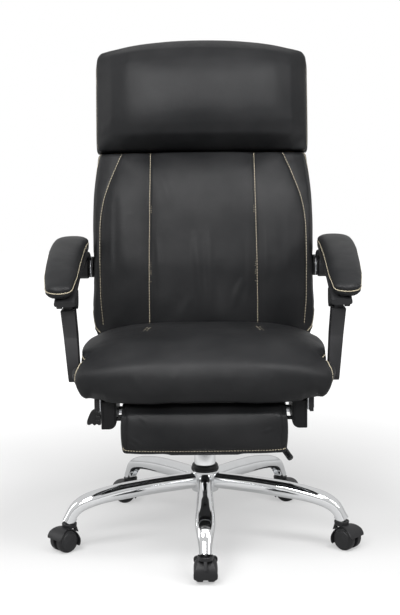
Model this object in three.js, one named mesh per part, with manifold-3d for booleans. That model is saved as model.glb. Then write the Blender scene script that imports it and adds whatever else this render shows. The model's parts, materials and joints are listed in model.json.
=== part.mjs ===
// Reclining office chair with a pull-out footrest, in millimetres.
// The front faces -Y, +Z is up, and the casters stand on z = 0.
import * as THREE from 'three';
import { mergeVertices } from 'three/addons/utils/BufferGeometryUtils.js';
import Module from 'manifold-3d';

const wasm = await Module();
wasm.setup();

// Clearances shared by the whole chair
const seatGap = 0.3;
const runningGap = 1;
const overrun = 6;
const weld = 0.5;
const mergeDistance = 0.0001;

// Five-star base
const legCount = 5;
const firstLegDegrees = -90;
const legReach = 320;
const legFootHeight = 62;
const legShoulderReach = 240;
const legShoulderHeight = 115;
const legRootHeight = 131;
const legRootWidth = 34;
const legRootDepth = 36;
const legShoulderWidth = 42;
const legTipWidth = 26;
const legTipDepth = 27;
const legWall = 3;
const hubRadius = 31;
const hubBottom = 105;
const hubTop = 153;
const collarHeight = 14;
const collarWall = 7;
const stemInset = 3;
const stemReach = legReach - stemInset;
const stemRadius = 5.5;
const stemGrip = 13;
const socketRadius = 8.6;

// Twin-wheel casters, each swung about its stem as in the photograph
const wheelRadius = 25;
const wheelWidth = 20;
const wheelCrown = 5;
const casterWeb = 8;
const casterTrail = 16;
const hoodClearance = 1.6;
const hoodWall = 3;
const axleRadius = 3;
const casterBossRadius = 10;
const casterBossDepth = 13;
const casterSwingDegrees = [90, -42, -10, 190, 222];

// Gas column
const columnRadius = 24;
const columnWall = 2;
const columnBottom = 108;
const columnTop = 262;
const columnFloor = 6;
const cylinderRadius = 14;
const cylinderWall = 2;
const cylinderLength = 198;
const cylinderNeckRadius = 12.5;
const rodRadius = 5;
const pistonHeight = 10;
const clipRadius = 9;
const clipHeight = 3;
const bearingRadius = 14;
const bearingHeight = 7;
const bushLength = 52;
const valveRadius = 3;
const valveProud = 6;
const valveDepth = 12;

// Seat
const boardBottom = 372;
const boardThickness = 12;
const seatHalfWidth = 262;
const boardInset = 26;
const boardHalfWidth = seatHalfWidth - boardInset;
const boardFront = -225;
const boardRear = 150;
const boardCornerRadius = 60;
const seatBottomTuck = 21;
const seatBottomHalfWidth = seatHalfWidth - seatBottomTuck;
const seatRearTaper = 12;
const seatRearHalfWidth = seatHalfWidth - seatRearTaper;
const seatFront = -286;
const seatRear = 133;
const seatSkirt = 4;
const seatWelt = 62;
const seatCrest = 120;
const seatNoseHeight = 84;
const seatRearHeight = 101;
const seatSideDrop = 24;
const seatSeamPlace = 130;
const seatSeamDepth = 5;
const seatSeamReach = 18;
const seatCornerRound = 44;
const seatNoseTuck = 24;
const seatTopInset = 12;

// Seat mechanism and side brackets
const housingHalfWidth = 80;
const housingHalfLength = 110;
const housingBottom = 276;
const housingWall = 3;
const housingEndHeight = 48;
const housingFlange = 22;
const socketWall = 6;
const socketHeight = 40;
const sheet = 4;
const bracketInset = 7;
const bracketPlace = boardHalfWidth - bracketInset;
const bracketFront = -176;
const bracketDepth = 28;
const bracketFlange = 26;
const earRadius = 21;
const postBracketInset = 6;
const postBracketInner = seatHalfWidth - postBracketInset;
const postBracketWall = 5;
const postBracketWidth = 32;
const hingePinRadius = 6;

// Back hinge, arm pivots and arm posts form a parallelogram in side view
const hingeY = 200;
const hingeZ = 432;
const linkRun = 20;
const linkRise = 161;
const postFootY = -155;
const postFootZ = 404;

// Back, in the leaned frame: y to the rear, z up the back
const leanDegrees = 10;
const backWaistSpread = 1.5;
const backWaistHalfWidth = seatHalfWidth + backWaistSpread;
const backFootTaper = 13.5;
const backFootHalfWidth = backWaistHalfWidth - backFootTaper;
const backNeckTaper = 18.5;
const backNeckHalfWidth = backWaistHalfWidth - backNeckTaper;
const backBoardInset = 23;
const backBoardHalfWidth = backNeckHalfWidth - backBoardInset;
const backBoardThickness = 18;
const backBoardBottom = -20;
const backBoardTop = 650;
const backCushionBottom = -12;
const backCushionTop = 434;
const backFootDepth = 58;
const backLumbarDepth = 86;
const backNeckDepth = 68;
const lumbarHeight = 180;
const backEdgeDrop = 26;
const backWrap = 18;
const backSeamPlace = 125;
const backSeamDepth = 6;
const backSeamReach = 16;
const headrestTop = 696;
const headrestTaper = 12.5;
const headrestHalfWidth = backWaistHalfWidth - headrestTaper;
const headrestDepth = 124;
const headrestRim = 44;
const headrestCorner = 14;
const topArch = 24;
const rearPanelInset = 11;
const rearPanelHalfWidth = headrestHalfWidth - rearPanelInset;
const rearPanelThickness = 27;
const rearPanelTop = 688;
const rearPanelEdgeShare = 0.4;
const backPlateStandoff = 12;
const backPlatePlace = backBoardHalfWidth + backPlateStandoff;
const backPlateWall = 5;
const backPlateWidth = 36;
const backPlateFlange = 34;
const backPlateFlangeBottom = 44;
const backPlateFlangeTop = 190;
const cornerNotch = 30;

// Arms
const pivotDiscRadius = 25;
const pivotDiscSink = 1.5;
const pivotDiscInner = backWaistHalfWidth - pivotDiscSink;
const pivotDiscThickness = 11;
const armEyeRadius = 28;
const armEyeThickness = 22;
const armRearY = 216;
const armFrontY = -196;
const armFrontZ = 570;
const armTopZ = 638;
const armPathShares = [
  [0, 0.64], [0.063, 0.91], [0.184, 1], [0.379, 0.93], [0.67, 0.61], [0.913, 0.2], [1, 0],
];
const armPadWidth = 71;
const armPadHeight = 37;
const armBarWidth = 44;
const armBarHeight = 13;
const clevisWidth = 45;
const clevisDepth = 38;
const clevisRise = 19;
const clevisSlot = 23;
const armPinRadius = 4;

// Arm posts
const postWidth = 31;
const postClearance = 0.5;
const postFootPlace = seatHalfWidth + postClearance + postWidth / 2;
const postSplay = 11;
const clevisPlace = postFootPlace + postSplay;
const armPadOffset = 12;
const armPadPlace = clevisPlace + armPadOffset;
const postFootRadius = 13;
const postHeadDepth = 40;
const tongueWidth = 20;
const tongueRadius = 11;

// Footrest
const railWall = 2;
const railBottom = 336;
const railDepth = 7.6;
const railFront = -205;
const railLength = 300;
const slideLength = 250;
const armCoverBottom = 298;
const armCoverTop = 358;
const armCoverFront = -202;
const armCoverLength = 120;
const armCoverWidth = 32;
const slideRoom = 12;
const armCoverInner = bracketPlace - armCoverWidth - slideRoom;
const armCoverRadius = 16;
const crossbarY = -130;
const crossbarZ = 324;
const crossbarRadius = 8;
const padPivotY = -190;
const padPivotZ = 318;
const padPinRadius = 4;
const padPinLength = 19;
const padSideGap = 9;
const padHalfWidth = armCoverInner - padSideGap;
const padTopReach = 32;
const padBottomReach = 64;
const padBackset = 11;
const padThickness = 60;
const padCrown = 12;
const padLeanDegrees = 4;
const padFrameWall = 3;
const padEarWall = 4;
const padEarInset = 6;
const padFrameMargin = 14;

// Levers
const reclineShaftY = -60;
const reclineShaftZ = 291;
const reclineShaftRadius = 5;
const reclineShaftInner = 58;
const paddleInset = 33;
const paddleInner = seatHalfWidth - paddleInset;
const paddleWidth = 32;
const paddleLength = 46;
const paddleHeight = 38;
const paddleThickness = 12;
const liftHingeX = 36;
const liftHingePinRadius = 3;
const liftRodRadius = 4;
const liftEarWall = 4;
const liftBendX = 132;
const liftBendZ = 268;
const liftTipX = 190;
const liftTipY = -90;
const liftTipZ = 200;
const gripRadius = 7;
const gripLength = 46;

// How round the faceted pieces are
const wheelSides = 18;
const roundSides = 16;
const smallSides = 8;
const legSides = 10;
const legSteps = 9;
const hollowSides = 8;
const hollowSteps = 6;
const hoodSteps = 9;
const hubSides = 24;

const radians = THREE.MathUtils.degToRad;
const axisX = new THREE.Vector3(1, 0, 0);
const axisY = new THREE.Vector3(0, 1, 0);
const axisZ = new THREE.Vector3(0, 0, 1);

function finish(color, roughness, metalness) {
  return new THREE.MeshStandardMaterial({ color, roughness, metalness });
}

const leather = finish(0x1c1d1f, 0.45, 0);
const chrome = finish(0xd6d8da, 0.08, 1);
const steel = finish(0x26282b, 0.5, 0.9);
const zinc = finish(0xb7bbbe, 0.35, 1);
const blackPlastic = finish(0x18191b, 0.55, 0);
const plywood = finish(0xa9824f, 0.75, 0);
const nylon = finish(0xd9d6cc, 0.5, 0);

// Geometry helpers: every shape below is a closed solid with its faces pointing out.
function boxBetween(low, high) {
  const size = high.map((value, i) => value - low[i]);
  const middle = high.map((value, i) => (value + low[i]) / 2);
  return new THREE.BoxGeometry(...size).translate(...middle);
}

// A round bar between two places along one axis.
function barBetween(axis, radius, from, to, across, sides = roundSides) {
  const bar = new THREE.CylinderGeometry(radius, radius, Math.abs(to - from), sides);
  const middle = (from + to) / 2;
  if (axis === 'x') return bar.rotateZ(Math.PI / 2).translate(middle, across[0], across[1]);
  if (axis === 'y') return bar.translate(across[0], middle, across[1]);
  return bar.rotateX(Math.PI / 2).translate(across[0], across[1], middle);
}

// A bore's flats, not its corners, keep the stated radius, so a round pin clears it.
function boreBetween(axis, radius, from, to, across, sides = roundSides) {
  return barBetween(axis, radius / Math.cos(Math.PI / sides), from, to, across, sides);
}

// A solid of revolution about +Z from [radius, height] points.
function turned(points, sides = roundSides) {
  const profile = points.map(([r, z]) => new THREE.Vector2(r, z));
  return new THREE.LatheGeometry(profile, sides).rotateX(Math.PI / 2);
}

function ring(inner, outer, low, high, sides = roundSides) {
  const clear = inner / Math.cos(Math.PI / sides);
  return turned([[clear, low], [outer, low], [outer, high], [clear, high], [clear, low]], sides);
}

// A plate whose outline lies in the YZ plane, from one place in X to another.
function plateX(shape, from, to, curveSegments = smallSides) {
  const depth = Math.abs(to - from);
  const plate = new THREE.ExtrudeGeometry(shape, { depth, bevelEnabled: false, curveSegments });
  const turn = new THREE.Matrix4().makeBasis(axisY, axisZ, axisX);
  return plate.applyMatrix4(turn).translate(Math.min(from, to), 0, 0);
}

// A plate whose outline lies in the XY plane, from one height to another.
function plateZ(shape, low, high, curveSegments = smallSides) {
  const depth = high - low;
  return new THREE.ExtrudeGeometry(shape, { depth, bevelEnabled: false, curveSegments }).translate(0, 0, low);
}

// A plate whose outline lies in the XZ plane, from one place in Y to another.
function plateY(shape, from, to, curveSegments = smallSides) {
  const plate = new THREE.ExtrudeGeometry(shape, { depth: to - from, bevelEnabled: false, curveSegments });
  const turn = new THREE.Matrix4().makeBasis(axisX, axisZ, axisY.clone().negate());
  return plate.applyMatrix4(turn).translate(0, to, 0);
}

// A round bar between any two points.
function barFrom(start, end, radius, sides = smallSides) {
  const run = new THREE.Vector3().subVectors(end, start);
  const turn = new THREE.Quaternion().setFromUnitVectors(axisY, run.clone().normalize());
  const middle = start.clone().addScaledVector(run, 0.5);
  return new THREE.CylinderGeometry(radius, radius, run.length(), sides)
    .applyQuaternion(turn).translate(middle.x, middle.y, middle.z);
}

function outline(points) {
  return new THREE.Shape(points.map(([a, b]) => new THREE.Vector2(a, b)));
}

// A strap with round ends about two points of the YZ plane.
function strap(first, second, firstRadius, secondRadius) {
  const run = new THREE.Vector2(second[0] - first[0], second[1] - first[1]);
  const heading = run.angle();
  const spread = Math.acos((firstRadius - secondRadius) / run.length());
  const shape = new THREE.Shape();
  shape.absarc(first[0], first[1], firstRadius, heading + spread, heading - spread + 2 * Math.PI, false);
  shape.absarc(second[0], second[1], secondRadius, heading - spread, heading + spread, false);
  return shape;
}

// An oval bar along a curve that stays in one plane; side is the direction square to that plane.
// A squareness under 1 makes its section fuller.
function bentBar(curve, side, { width, height, lift = () => 0, squareness = 1, sides, steps }) {
  const bar = new THREE.CylinderGeometry(1, 1, 1, sides, steps);
  const place = bar.attributes.position;
  for (let i = 0; i < place.count; i += 1) {
    const along = 0.5 - place.getY(i);
    const up = new THREE.Vector3().crossVectors(curve.getTangentAt(along), side);
    const point = curve.getPointAt(along);
    const across = Math.sign(place.getX(i)) * Math.abs(place.getX(i)) ** squareness;
    const rise = Math.sign(place.getZ(i)) * Math.abs(place.getZ(i)) ** squareness;
    point.addScaledVector(side, (across * width(along)) / 2);
    point.addScaledVector(up, (rise * height(along)) / 2 + lift(along));
    place.setXYZ(i, point.x, point.y, point.z);
  }
  return bar;
}

// A padded form: a divided unit box whose points, from -1 to 1, are each moved by a rule.
function paddedForm(cellsX, cellsY, cellsZ, rule) {
  const form = new THREE.BoxGeometry(2, 2, 2, cellsX, cellsY, cellsZ);
  const place = form.attributes.position;
  for (let i = 0; i < place.count; i += 1) {
    place.setXYZ(i, ...rule(place.getX(i), place.getY(i), place.getZ(i)));
  }
  return form;
}

function solidOf(geometry) {
  if (geometry instanceof wasm.Manifold) return geometry;
  const bare = geometry.index ? geometry.toNonIndexed() : geometry.clone();
  bare.deleteAttribute('normal');
  bare.deleteAttribute('uv');
  const merged = mergeVertices(bare, mergeDistance);
  const vertProperties = merged.attributes.position.array;
  const triVerts = new Uint32Array(merged.index.array);
  return new wasm.Manifold(new wasm.Mesh({ numProp: 3, vertProperties, triVerts }));
}

function geometryOf(solid) {
  const { vertProperties, triVerts, numProp } = solid.getMesh();
  const geometry = new THREE.BufferGeometry();
  const stride = new THREE.InterleavedBuffer(vertProperties, numProp);
  const places = new Float32Array(stride.count * 3);
  for (let i = 0; i < stride.count; i += 1) {
    places.set(vertProperties.subarray(i * numProp, i * numProp + 3), i * 3);
  }
  geometry.setAttribute('position', new THREE.BufferAttribute(places, 3));
  geometry.setIndex(new THREE.BufferAttribute(triVerts, 1));
  const flat = geometry.toNonIndexed();
  flat.computeVertexNormals();
  return flat;
}

function joined(...pieces) {
  return pieces.map(solidOf).reduce((sum, piece) => sum.add(piece));
}

function cut(body, ...tools) {
  return tools.map(solidOf).reduce((rest, tool) => rest.subtract(tool), solidOf(body));
}

function shared(first, second) {
  return solidOf(first).intersect(solidOf(second));
}

const chair = new THREE.Group();

function put(parent, name, geometry, material) {
  const mesh = new THREE.Mesh(geometry.isBufferGeometry ? geometry : geometryOf(geometry), material);
  mesh.name = name;
  parent.add(mesh);
  return mesh;
}

// Blends a value along 0..1 through evenly spaced stops.
function through(stops, share) {
  const place = THREE.MathUtils.clamp(share, 0, 1) * (stops.length - 1);
  const index = Math.min(Math.floor(place), stops.length - 2);
  const part = place - index;
  const eased = part * part * (3 - 2 * part);
  return THREE.MathUtils.lerp(stops[index], stops[index + 1], eased);
}

// A sewn groove: 1 on the seam line, 0 beyond its reach.
function groove(distance, reach) {
  const share = Math.max(0, 1 - Math.abs(distance) / reach);
  return share * share;
}

// The base: a hub and five pressed legs, each an arch that is open below at its outer half
function legCurve() {
  const points = [
    [hubRadius - hubRadius / 6, legRootHeight],
    [(hubRadius + legShoulderReach) / 2, (legRootHeight * 2 + legShoulderHeight) / 3],
    [legShoulderReach, legShoulderHeight],
    [(legShoulderReach + legReach * 2) / 3, (legShoulderHeight * 2 + legFootHeight) / 3],
    [legReach, legFootHeight],
  ];
  return new THREE.CatmullRomCurve3(points.map(([r, z]) => new THREE.Vector3(r, 0, z)));
}

function leg() {
  const curve = legCurve();
  const waist = (legRootWidth + legShoulderWidth) / 2;
  const widths = [legRootWidth, legRootWidth, waist, legShoulderWidth, legTipWidth];
  const depths = [legRootDepth, legRootDepth, legRootDepth, (legRootDepth + legTipDepth) / 2, legTipDepth];
  const oval = { sides: legSides, steps: legSteps };
  const width = (share) => through(widths, share);
  const height = (share) => through(depths, share);
  const shell = bentBar(curve, axisY, { ...oval, width, height });
  const hollow = bentBar(curve, axisY, {
    sides: hollowSides,
    steps: hollowSteps,
    width: (share) => width(share) - 2 * legWall,
    height: (share) => height(share) - 2 * legWall,
  });
  const openShare = 0.62;
  const open = paddedForm(1, 1, 1, (x, y, z) => [
    x < 0 ? curve.getPointAt(openShare).x : legReach + legTipDepth,
    (y * (legTipWidth - 2 * legWall)) / 2,
    z < 0 ? legFootHeight - overrun : (x < 0 ? legShoulderHeight - legTipDepth / 2 : legFootHeight + legWall),
  ]);
  const trimmed = boxBetween([0, -legShoulderWidth, 0], [legReach * 2, legShoulderWidth, legFootHeight]);
  const socketTop = legFootHeight + stemGrip + legWall;
  const socket = barBetween('z', socketRadius, legFootHeight, socketTop, [stemReach, 0]);
  const shellOnly = cut(shell, hollow, open);
  return cut(joined(shellOnly, shared(socket, shell)), trimmed);
}

function turnedAbout(shape, degrees) {
  const geometry = shape.isBufferGeometry ? shape.clone() : geometryOf(shape);
  return geometry.rotateZ(radians(degrees));
}

function legDegrees(index) {
  return firstLegDegrees + (index * 360) / legCount;
}

function base() {
  const hub = barBetween('z', hubRadius, hubBottom, hubTop, [0, 0], hubSides);
  const legs = Array.from({ length: legCount }, (_, i) => turnedAbout(leg(), legDegrees(i)));
  const bores = Array.from({ length: legCount }, (_, i) => turnedAbout(
    boreBetween(
      'z', stemRadius + seatGap, legFootHeight - overrun, legFootHeight + stemGrip, [stemReach, 0], smallSides,
    ),
    legDegrees(i),
  ));
  const columnBore = boreBetween('z', columnRadius + seatGap, 0, hubTop + overrun, [0, 0]);
  put(chair, 'star_base', cut(joined(hub, ...legs), columnBore, ...bores), chrome);

  const collarLow = hubTop + seatGap;
  const collarInner = columnRadius + seatGap;
  const collar = ring(collarInner, collarInner + collarWall, collarLow, collarLow + collarHeight);
  put(chair, 'hub_collar', collar, blackPlastic);
}

base();

// Casters: local x is the way the wheels trail, local y is the axle, and the stem is on local z
const hoodTop = legFootHeight - runningGap;
const stemBottom = hoodTop - casterBossDepth + seatGap;

function arcPoints(radius, fromDegrees, toDegrees, steps, middle) {
  return Array.from({ length: steps + 1 }, (_, i) => {
    const angle = radians(THREE.MathUtils.lerp(fromDegrees, toDegrees, i / steps));
    return [middle[0] + radius * Math.cos(angle), middle[1] + radius * Math.sin(angle)];
  });
}

function hood() {
  const axle = [casterTrail, wheelRadius];
  const innerRadius = wheelRadius + hoodClearance;
  const outerRadius = innerRadius + hoodWall;
  const halfWidth = casterWeb / 2 + runningGap + wheelWidth;
  const rearDegrees = 12;
  const frontDegrees = 212;
  const fender = outline([
    ...arcPoints(outerRadius, rearDegrees, frontDegrees, hoodSteps, axle),
    ...arcPoints(innerRadius, frontDegrees, rearDegrees, hoodSteps, axle),
  ]);
  const web = outline(arcPoints(innerRadius + weld, rearDegrees, frontDegrees, hoodSteps, axle));
  const along = (shape, half) => new THREE.ExtrudeGeometry(shape, { depth: 2 * half, bevelEnabled: false })
    .rotateX(Math.PI / 2).translate(0, half, 0);
  const boss = barBetween('z', casterBossRadius, hoodTop - casterBossDepth - hoodWall, hoodTop, [0, 0]);
  const wheelRoom = boreBetween('y', innerRadius, -halfWidth - overrun, halfWidth + overrun, axle, 2 * hoodSteps);
  const pinHalf = halfWidth - wheelCrown * 2;
  const pin = barBetween('y', axleRadius, -pinHalf, pinHalf, axle, smallSides);
  const stemBore = boreBetween(
    'z', stemRadius + seatGap, hoodTop - casterBossDepth, hoodTop + overrun, [0, 0], smallSides,
  );
  const shell = joined(cut(boss, wheelRoom), along(fender, halfWidth), along(web, casterWeb / 2), pin);
  return cut(shell, stemBore);
}

// A wheel with a domed outer face towards +y, whose facet faces down.
function wheel() {
  const facet = Math.PI / wheelSides;
  const tread = wheelRadius / Math.cos(facet);
  const bore = (axleRadius + seatGap) / Math.cos(facet);
  const domeShare = 0.55;
  const shoulder = wheelWidth - wheelCrown;
  const boreEnd = shoulder - wheelCrown;
  const profile = [
    [0, boreEnd], [bore, boreEnd], [bore, 0], [tread - hoodWall / 2, 0], [tread, hoodWall / 2],
    [tread, shoulder - wheelCrown / 2], [tread - wheelCrown / 2, shoulder + wheelCrown / 4],
    [tread * domeShare, wheelWidth - wheelCrown / 5], [0, wheelWidth],
  ];
  const points = profile.map(([r, y]) => new THREE.Vector2(r, y));
  return new THREE.LatheGeometry(points, wheelSides).rotateY(facet);
}

function caster(index) {
  const swing = new THREE.Group();
  const angle = radians(legDegrees(index));
  swing.position.set(stemReach * Math.cos(angle), stemReach * Math.sin(angle), 0);
  swing.rotation.z = radians(casterSwingDegrees[index]);
  chair.add(swing);

  const name = `caster_${index + 1}`;
  const stemTop = legFootHeight + stemGrip - seatGap;
  put(swing, `${name}_stem`, barBetween('z', stemRadius, stemBottom, stemTop, [0, 0], smallSides), steel);
  put(swing, `${name}_hood`, hood(), blackPlastic);
  for (const [sideName, side] of [['left', 1], ['right', -1]]) {
    const geometry = wheel();
    if (side < 0) geometry.rotateX(Math.PI);
    geometry.translate(casterTrail, side * (casterWeb / 2 + runningGap), wheelRadius);
    put(swing, `${name}_wheel_${sideName}`, geometry, blackPlastic);
  }
}

for (let index = 0; index < legCount; index += 1) caster(index);

// Gas column: an outer tube in the hub, a guide bush, and a cylinder that slides over a clipped rod
const bearingBottom = columnBottom + columnFloor + seatGap;
const cylinderBottom = bearingBottom + bearingHeight + seatGap;
const cylinderTop = cylinderBottom + cylinderLength;

function gasColumn() {
  const rodHole = rodRadius + seatGap;
  const tubeInner = columnRadius - columnWall;
  const tube = cut(
    barBetween('z', columnRadius, columnBottom, columnTop, [0, 0], hubSides),
    boreBetween('z', tubeInner, columnBottom + columnFloor, columnTop + overrun, [0, 0], hubSides),
    boreBetween('z', rodHole, columnBottom - overrun, columnBottom + columnFloor + overrun, [0, 0]),
  );
  put(chair, 'column_tube', tube, chrome);

  const bushInner = cylinderRadius + seatGap;
  const bush = ring(bushInner, tubeInner - seatGap, columnTop - bushLength, columnTop);
  put(chair, 'column_guide_bush', bush, nylon);
  const bearingTop = bearingBottom + bearingHeight;
  put(chair, 'thrust_bearing', ring(rodHole, bearingRadius, bearingBottom, bearingTop), steel);

  const neckBottom = housingBottom - seatGap;
  const boreTop = neckBottom - cylinderWall * 2;
  const boreRadius = cylinderRadius - cylinderWall;
  const pistonTop = boreTop - columnFloor;
  const clipTop = columnBottom - seatGap;
  const rod = joined(
    barBetween('z', rodRadius, clipTop - clipHeight, pistonTop - weld, [0, 0]),
    barBetween('z', clipRadius, clipTop - clipHeight, clipTop, [0, 0]),
    barBetween('z', boreRadius - seatGap, pistonTop - pistonHeight, pistonTop, [0, 0]),
  );
  put(chair, 'piston_rod', rod, steel);

  const cylinder = cut(
    joined(
      barBetween('z', cylinderRadius, cylinderBottom, neckBottom, [0, 0]),
      barBetween('z', cylinderNeckRadius, neckBottom - weld, cylinderTop, [0, 0]),
    ),
    boreBetween('z', rodHole, cylinderBottom - overrun, cylinderBottom + overrun, [0, 0]),
    boreBetween('z', boreRadius, cylinderBottom + cylinderWall * 2, boreTop, [0, 0]),
    boreBetween('z', valveRadius + seatGap, cylinderTop - valveDepth, cylinderTop + overrun, [0, 0]),
  );
  put(chair, 'gas_cylinder', cylinder, steel);

  const pinBottom = cylinderTop - valveDepth + valveProud;
  put(chair, 'valve_button', barBetween('z', valveRadius, pinBottom, cylinderTop + valveProud, [0, 0]), zinc);
}

gasColumn();

// Mechanism housing: a folded box that the cylinder's neck seats in, with ears for the height lever
const bracketTop = boardBottom - seatGap;
const liftHingeZ = cylinderTop + valveProud + seatGap + liftRodRadius;
const liftHinge = [liftHingeX, liftHingeZ];

function mechanismHousing() {
  const top = bracketTop;
  const inner = housingHalfWidth - housingWall;
  const endInner = housingHalfLength - housingWall;
  const endTop = housingBottom + housingEndHeight;
  const neckBore = cylinderNeckRadius + seatGap;
  const shell = cut(
    boxBetween([-housingHalfWidth, -housingHalfLength, housingBottom], [housingHalfWidth, housingHalfLength, top]),
    boxBetween([-inner, -endInner, housingBottom + housingWall], [inner, endInner, top + overrun]),
    boxBetween([-inner, -housingHalfLength - overrun, endTop], [inner, housingHalfLength + overrun, top + overrun]),
  );
  const flanges = [-1, 1].map((side) => boxBetween(
    [Math.min(side * inner, side * (inner + housingFlange)), -housingHalfLength, top - housingWall],
    [Math.max(side * inner, side * (inner + housingFlange)), housingHalfLength, top],
  ));
  const socket = barBetween('z', neckBore + socketWall, housingBottom, housingBottom + socketHeight, [0, 0]);
  const earHalf = liftHingePinRadius * 2;
  const earInner = liftRodRadius + runningGap;
  const ears = [-1, 1].map((side) => boxBetween(
    [liftHingeX - earHalf, Math.min(side * earInner, side * (earInner + liftEarWall)), housingBottom + weld],
    [liftHingeX + earHalf, Math.max(side * earInner, side * (earInner + liftEarWall)), liftHingeZ + earHalf],
  ));
  const pinReach = earInner + liftEarWall + overrun;
  const slotHalf = liftRodRadius * 2.5;
  return cut(
    joined(shell, ...flanges, socket, ...ears),
    boreBetween('z', neckBore, housingBottom - overrun, housingBottom + socketHeight + overrun, [0, 0]),
    boreBetween('y', liftHingePinRadius + seatGap, -pinReach, pinReach, liftHinge, smallSides),
    boreBetween('x', reclineShaftRadius + seatGap, -housingHalfWidth - overrun, -inner + overrun,
      [reclineShaftY, reclineShaftZ]),
    boxBetween([inner - overrun, -slotHalf, housingBottom + housingWall * 2],
      [housingHalfWidth + overrun, slotHalf, liftHingeZ + liftRodRadius]),
  );
}

put(chair, 'mechanism_housing', mechanismHousing(), steel);

// Seat: a plywood board and a cushion that wraps its edges
function boardShape(grow = 0) {
  const shape = new THREE.Shape();
  const half = boardHalfWidth + grow;
  const corner = boardCornerRadius + grow;
  const cornerY = boardFront + boardCornerRadius;
  const cornerX = boardHalfWidth - boardCornerRadius;
  shape.moveTo(half, boardRear + grow);
  shape.lineTo(-half, boardRear + grow);
  shape.lineTo(-half, cornerY);
  shape.absarc(-cornerX, cornerY, corner, Math.PI, Math.PI * 1.5, false);
  shape.absarc(cornerX, cornerY, corner, Math.PI * 1.5, Math.PI * 2, false);
  return shape;
}

const boardTop = boardBottom + boardThickness;
put(chair, 'seat_board', plateZ(boardShape(), boardBottom, boardTop, smallSides / 2), plywood);

const seatBottom = boardBottom - seatSkirt;

function seatForm(x, y, z) {
  const along = (y + 1) / 2;
  const level = (z + 1) / 2;
  const side = Math.abs(x);
  const lower = (seatBottomHalfWidth + 3 * seatHalfWidth) / 4;
  const widest = through([seatBottomHalfWidth, lower, seatHalfWidth, seatHalfWidth - seatTopInset], level);
  const frontPull = Math.max(0, -y) ** 3 * seatTopInset;
  const half = widest - frontPull - (seatHalfWidth - seatRearHalfWidth) * along ** 3;
  const heights = [seatNoseHeight, seatCrest, seatCrest, (seatCrest + seatRearHeight) / 2, seatRearHeight];
  const crown = through(heights, along);
  const seam = seatSeamDepth * groove(side * half - seatSeamPlace, seatSeamReach) * along;
  const top = seatBottom + crown - seatSideDrop * side ** 4 - (level === 1 ? seam : 0);
  const front = seatFront + seatCornerRound * side ** 4 + seatNoseTuck * (1 - level) ** 2;
  const frontTop = front + (level === 1 ? seatTopInset : 0);
  const { lerp } = THREE.MathUtils;
  return [x * half, lerp(frontTop, seatRear, along), lerp(seatBottom, top, level)];
}

// The arm that carries a post passes just under the cushion.
const postArmTop = seatBottom - seatGap;
const postArmBottom = postArmTop - sheet;

function postBracketShape(grow = 0) {
  const half = postBracketWidth / 2 + grow;
  const shape = new THREE.Shape();
  shape.moveTo(postFootY - half, postArmBottom - grow);
  shape.lineTo(postFootY + half, postArmBottom - grow);
  shape.absarc(postFootY, postFootZ, half, 0, Math.PI, false);
  return shape;
}

function seatCushion() {
  const room = plateZ(boardShape(seatGap), boardBottom - overrun, boardTop + seatGap, smallSides / 2);
  const brackets = [-1, 1].map((side) => plateX(
    postBracketShape(runningGap), side * (postBracketInner - runningGap), side * (seatHalfWidth + overrun),
  ));
  return cut(paddedForm(12, 10, 3, seatForm), room, ...brackets);
}

put(chair, 'seat_cushion', seatCushion(), leather);

// Side brackets: the plate under the seat, the ear of the back hinge and the foot of the arm post
function sideBracket(side) {
  const outer = bracketPlace + sheet;
  const plate = new THREE.Shape();
  plate.moveTo(bracketFront, railBottom);
  plate.lineTo(hingeY + earRadius, railBottom);
  plate.absarc(hingeY, hingeZ, earRadius, 0, Math.PI, false);
  plate.lineTo(hingeY - earRadius, bracketTop);
  plate.lineTo(bracketFront, bracketTop);
  const inward = outer - bracketFlange;
  const half = postBracketWidth / 2;
  const postOuter = postBracketInner + postBracketWall;
  const x = (a, b) => [Math.min(side * a, side * b), Math.max(side * a, side * b)];
  const [flangeLow, flangeHigh] = x(inward, outer);
  const [armLow, armHigh] = x(bracketPlace, postOuter);
  return joined(
    plateX(plate, side * bracketPlace, side * outer),
    boxBetween([flangeLow, bracketFront, bracketTop - sheet], [flangeHigh, boardRear - overrun, bracketTop]),
    boxBetween([armLow, postFootY - half, postArmBottom], [armHigh, postFootY + half, postArmTop]),
    plateX(postBracketShape(), side * postBracketInner, side * postOuter),
    barBetween('x', hingePinRadius, side * (postOuter - weld), side * (postFootPlace + postWidth / 4),
      [postFootY, postFootZ]),
    barBetween('x', hingePinRadius, side * (outer - weld), side * (backPlatePlace + backPlateWall + hoodWall),
      [hingeY, hingeZ]),
  );
}

// Fixed zinc channels under the seat, open inwards, and the members that slide in them
const railTop = bracketTop - sheet - seatGap;
const railOuter = bracketPlace - seatGap;

function fixedRail(side) {
  const inner = railOuter - railDepth;
  const x = (a, b) => [Math.min(side * a, side * b), Math.max(side * a, side * b)];
  const [low, high] = x(inner, railOuter);
  const [roomLow, roomHigh] = x(inner - overrun, railOuter - railWall);
  return cut(
    boxBetween([low, railFront, railBottom], [high, railFront + railLength, railTop]),
    boxBetween([roomLow, railFront - overrun, railBottom + railWall],
      [roomHigh, railFront + railLength + overrun, railTop - railWall]),
  );
}

function slideRail(side) {
  const inner = armCoverInner + armCoverWidth + seatGap;
  const outer = railOuter - railWall - seatGap;
  return boxBetween(
    [Math.min(side * inner, side * outer), railFront, railBottom + railWall + seatGap],
    [Math.max(side * inner, side * outer), railFront + slideLength, railTop - railWall - seatGap],
  );
}

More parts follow.
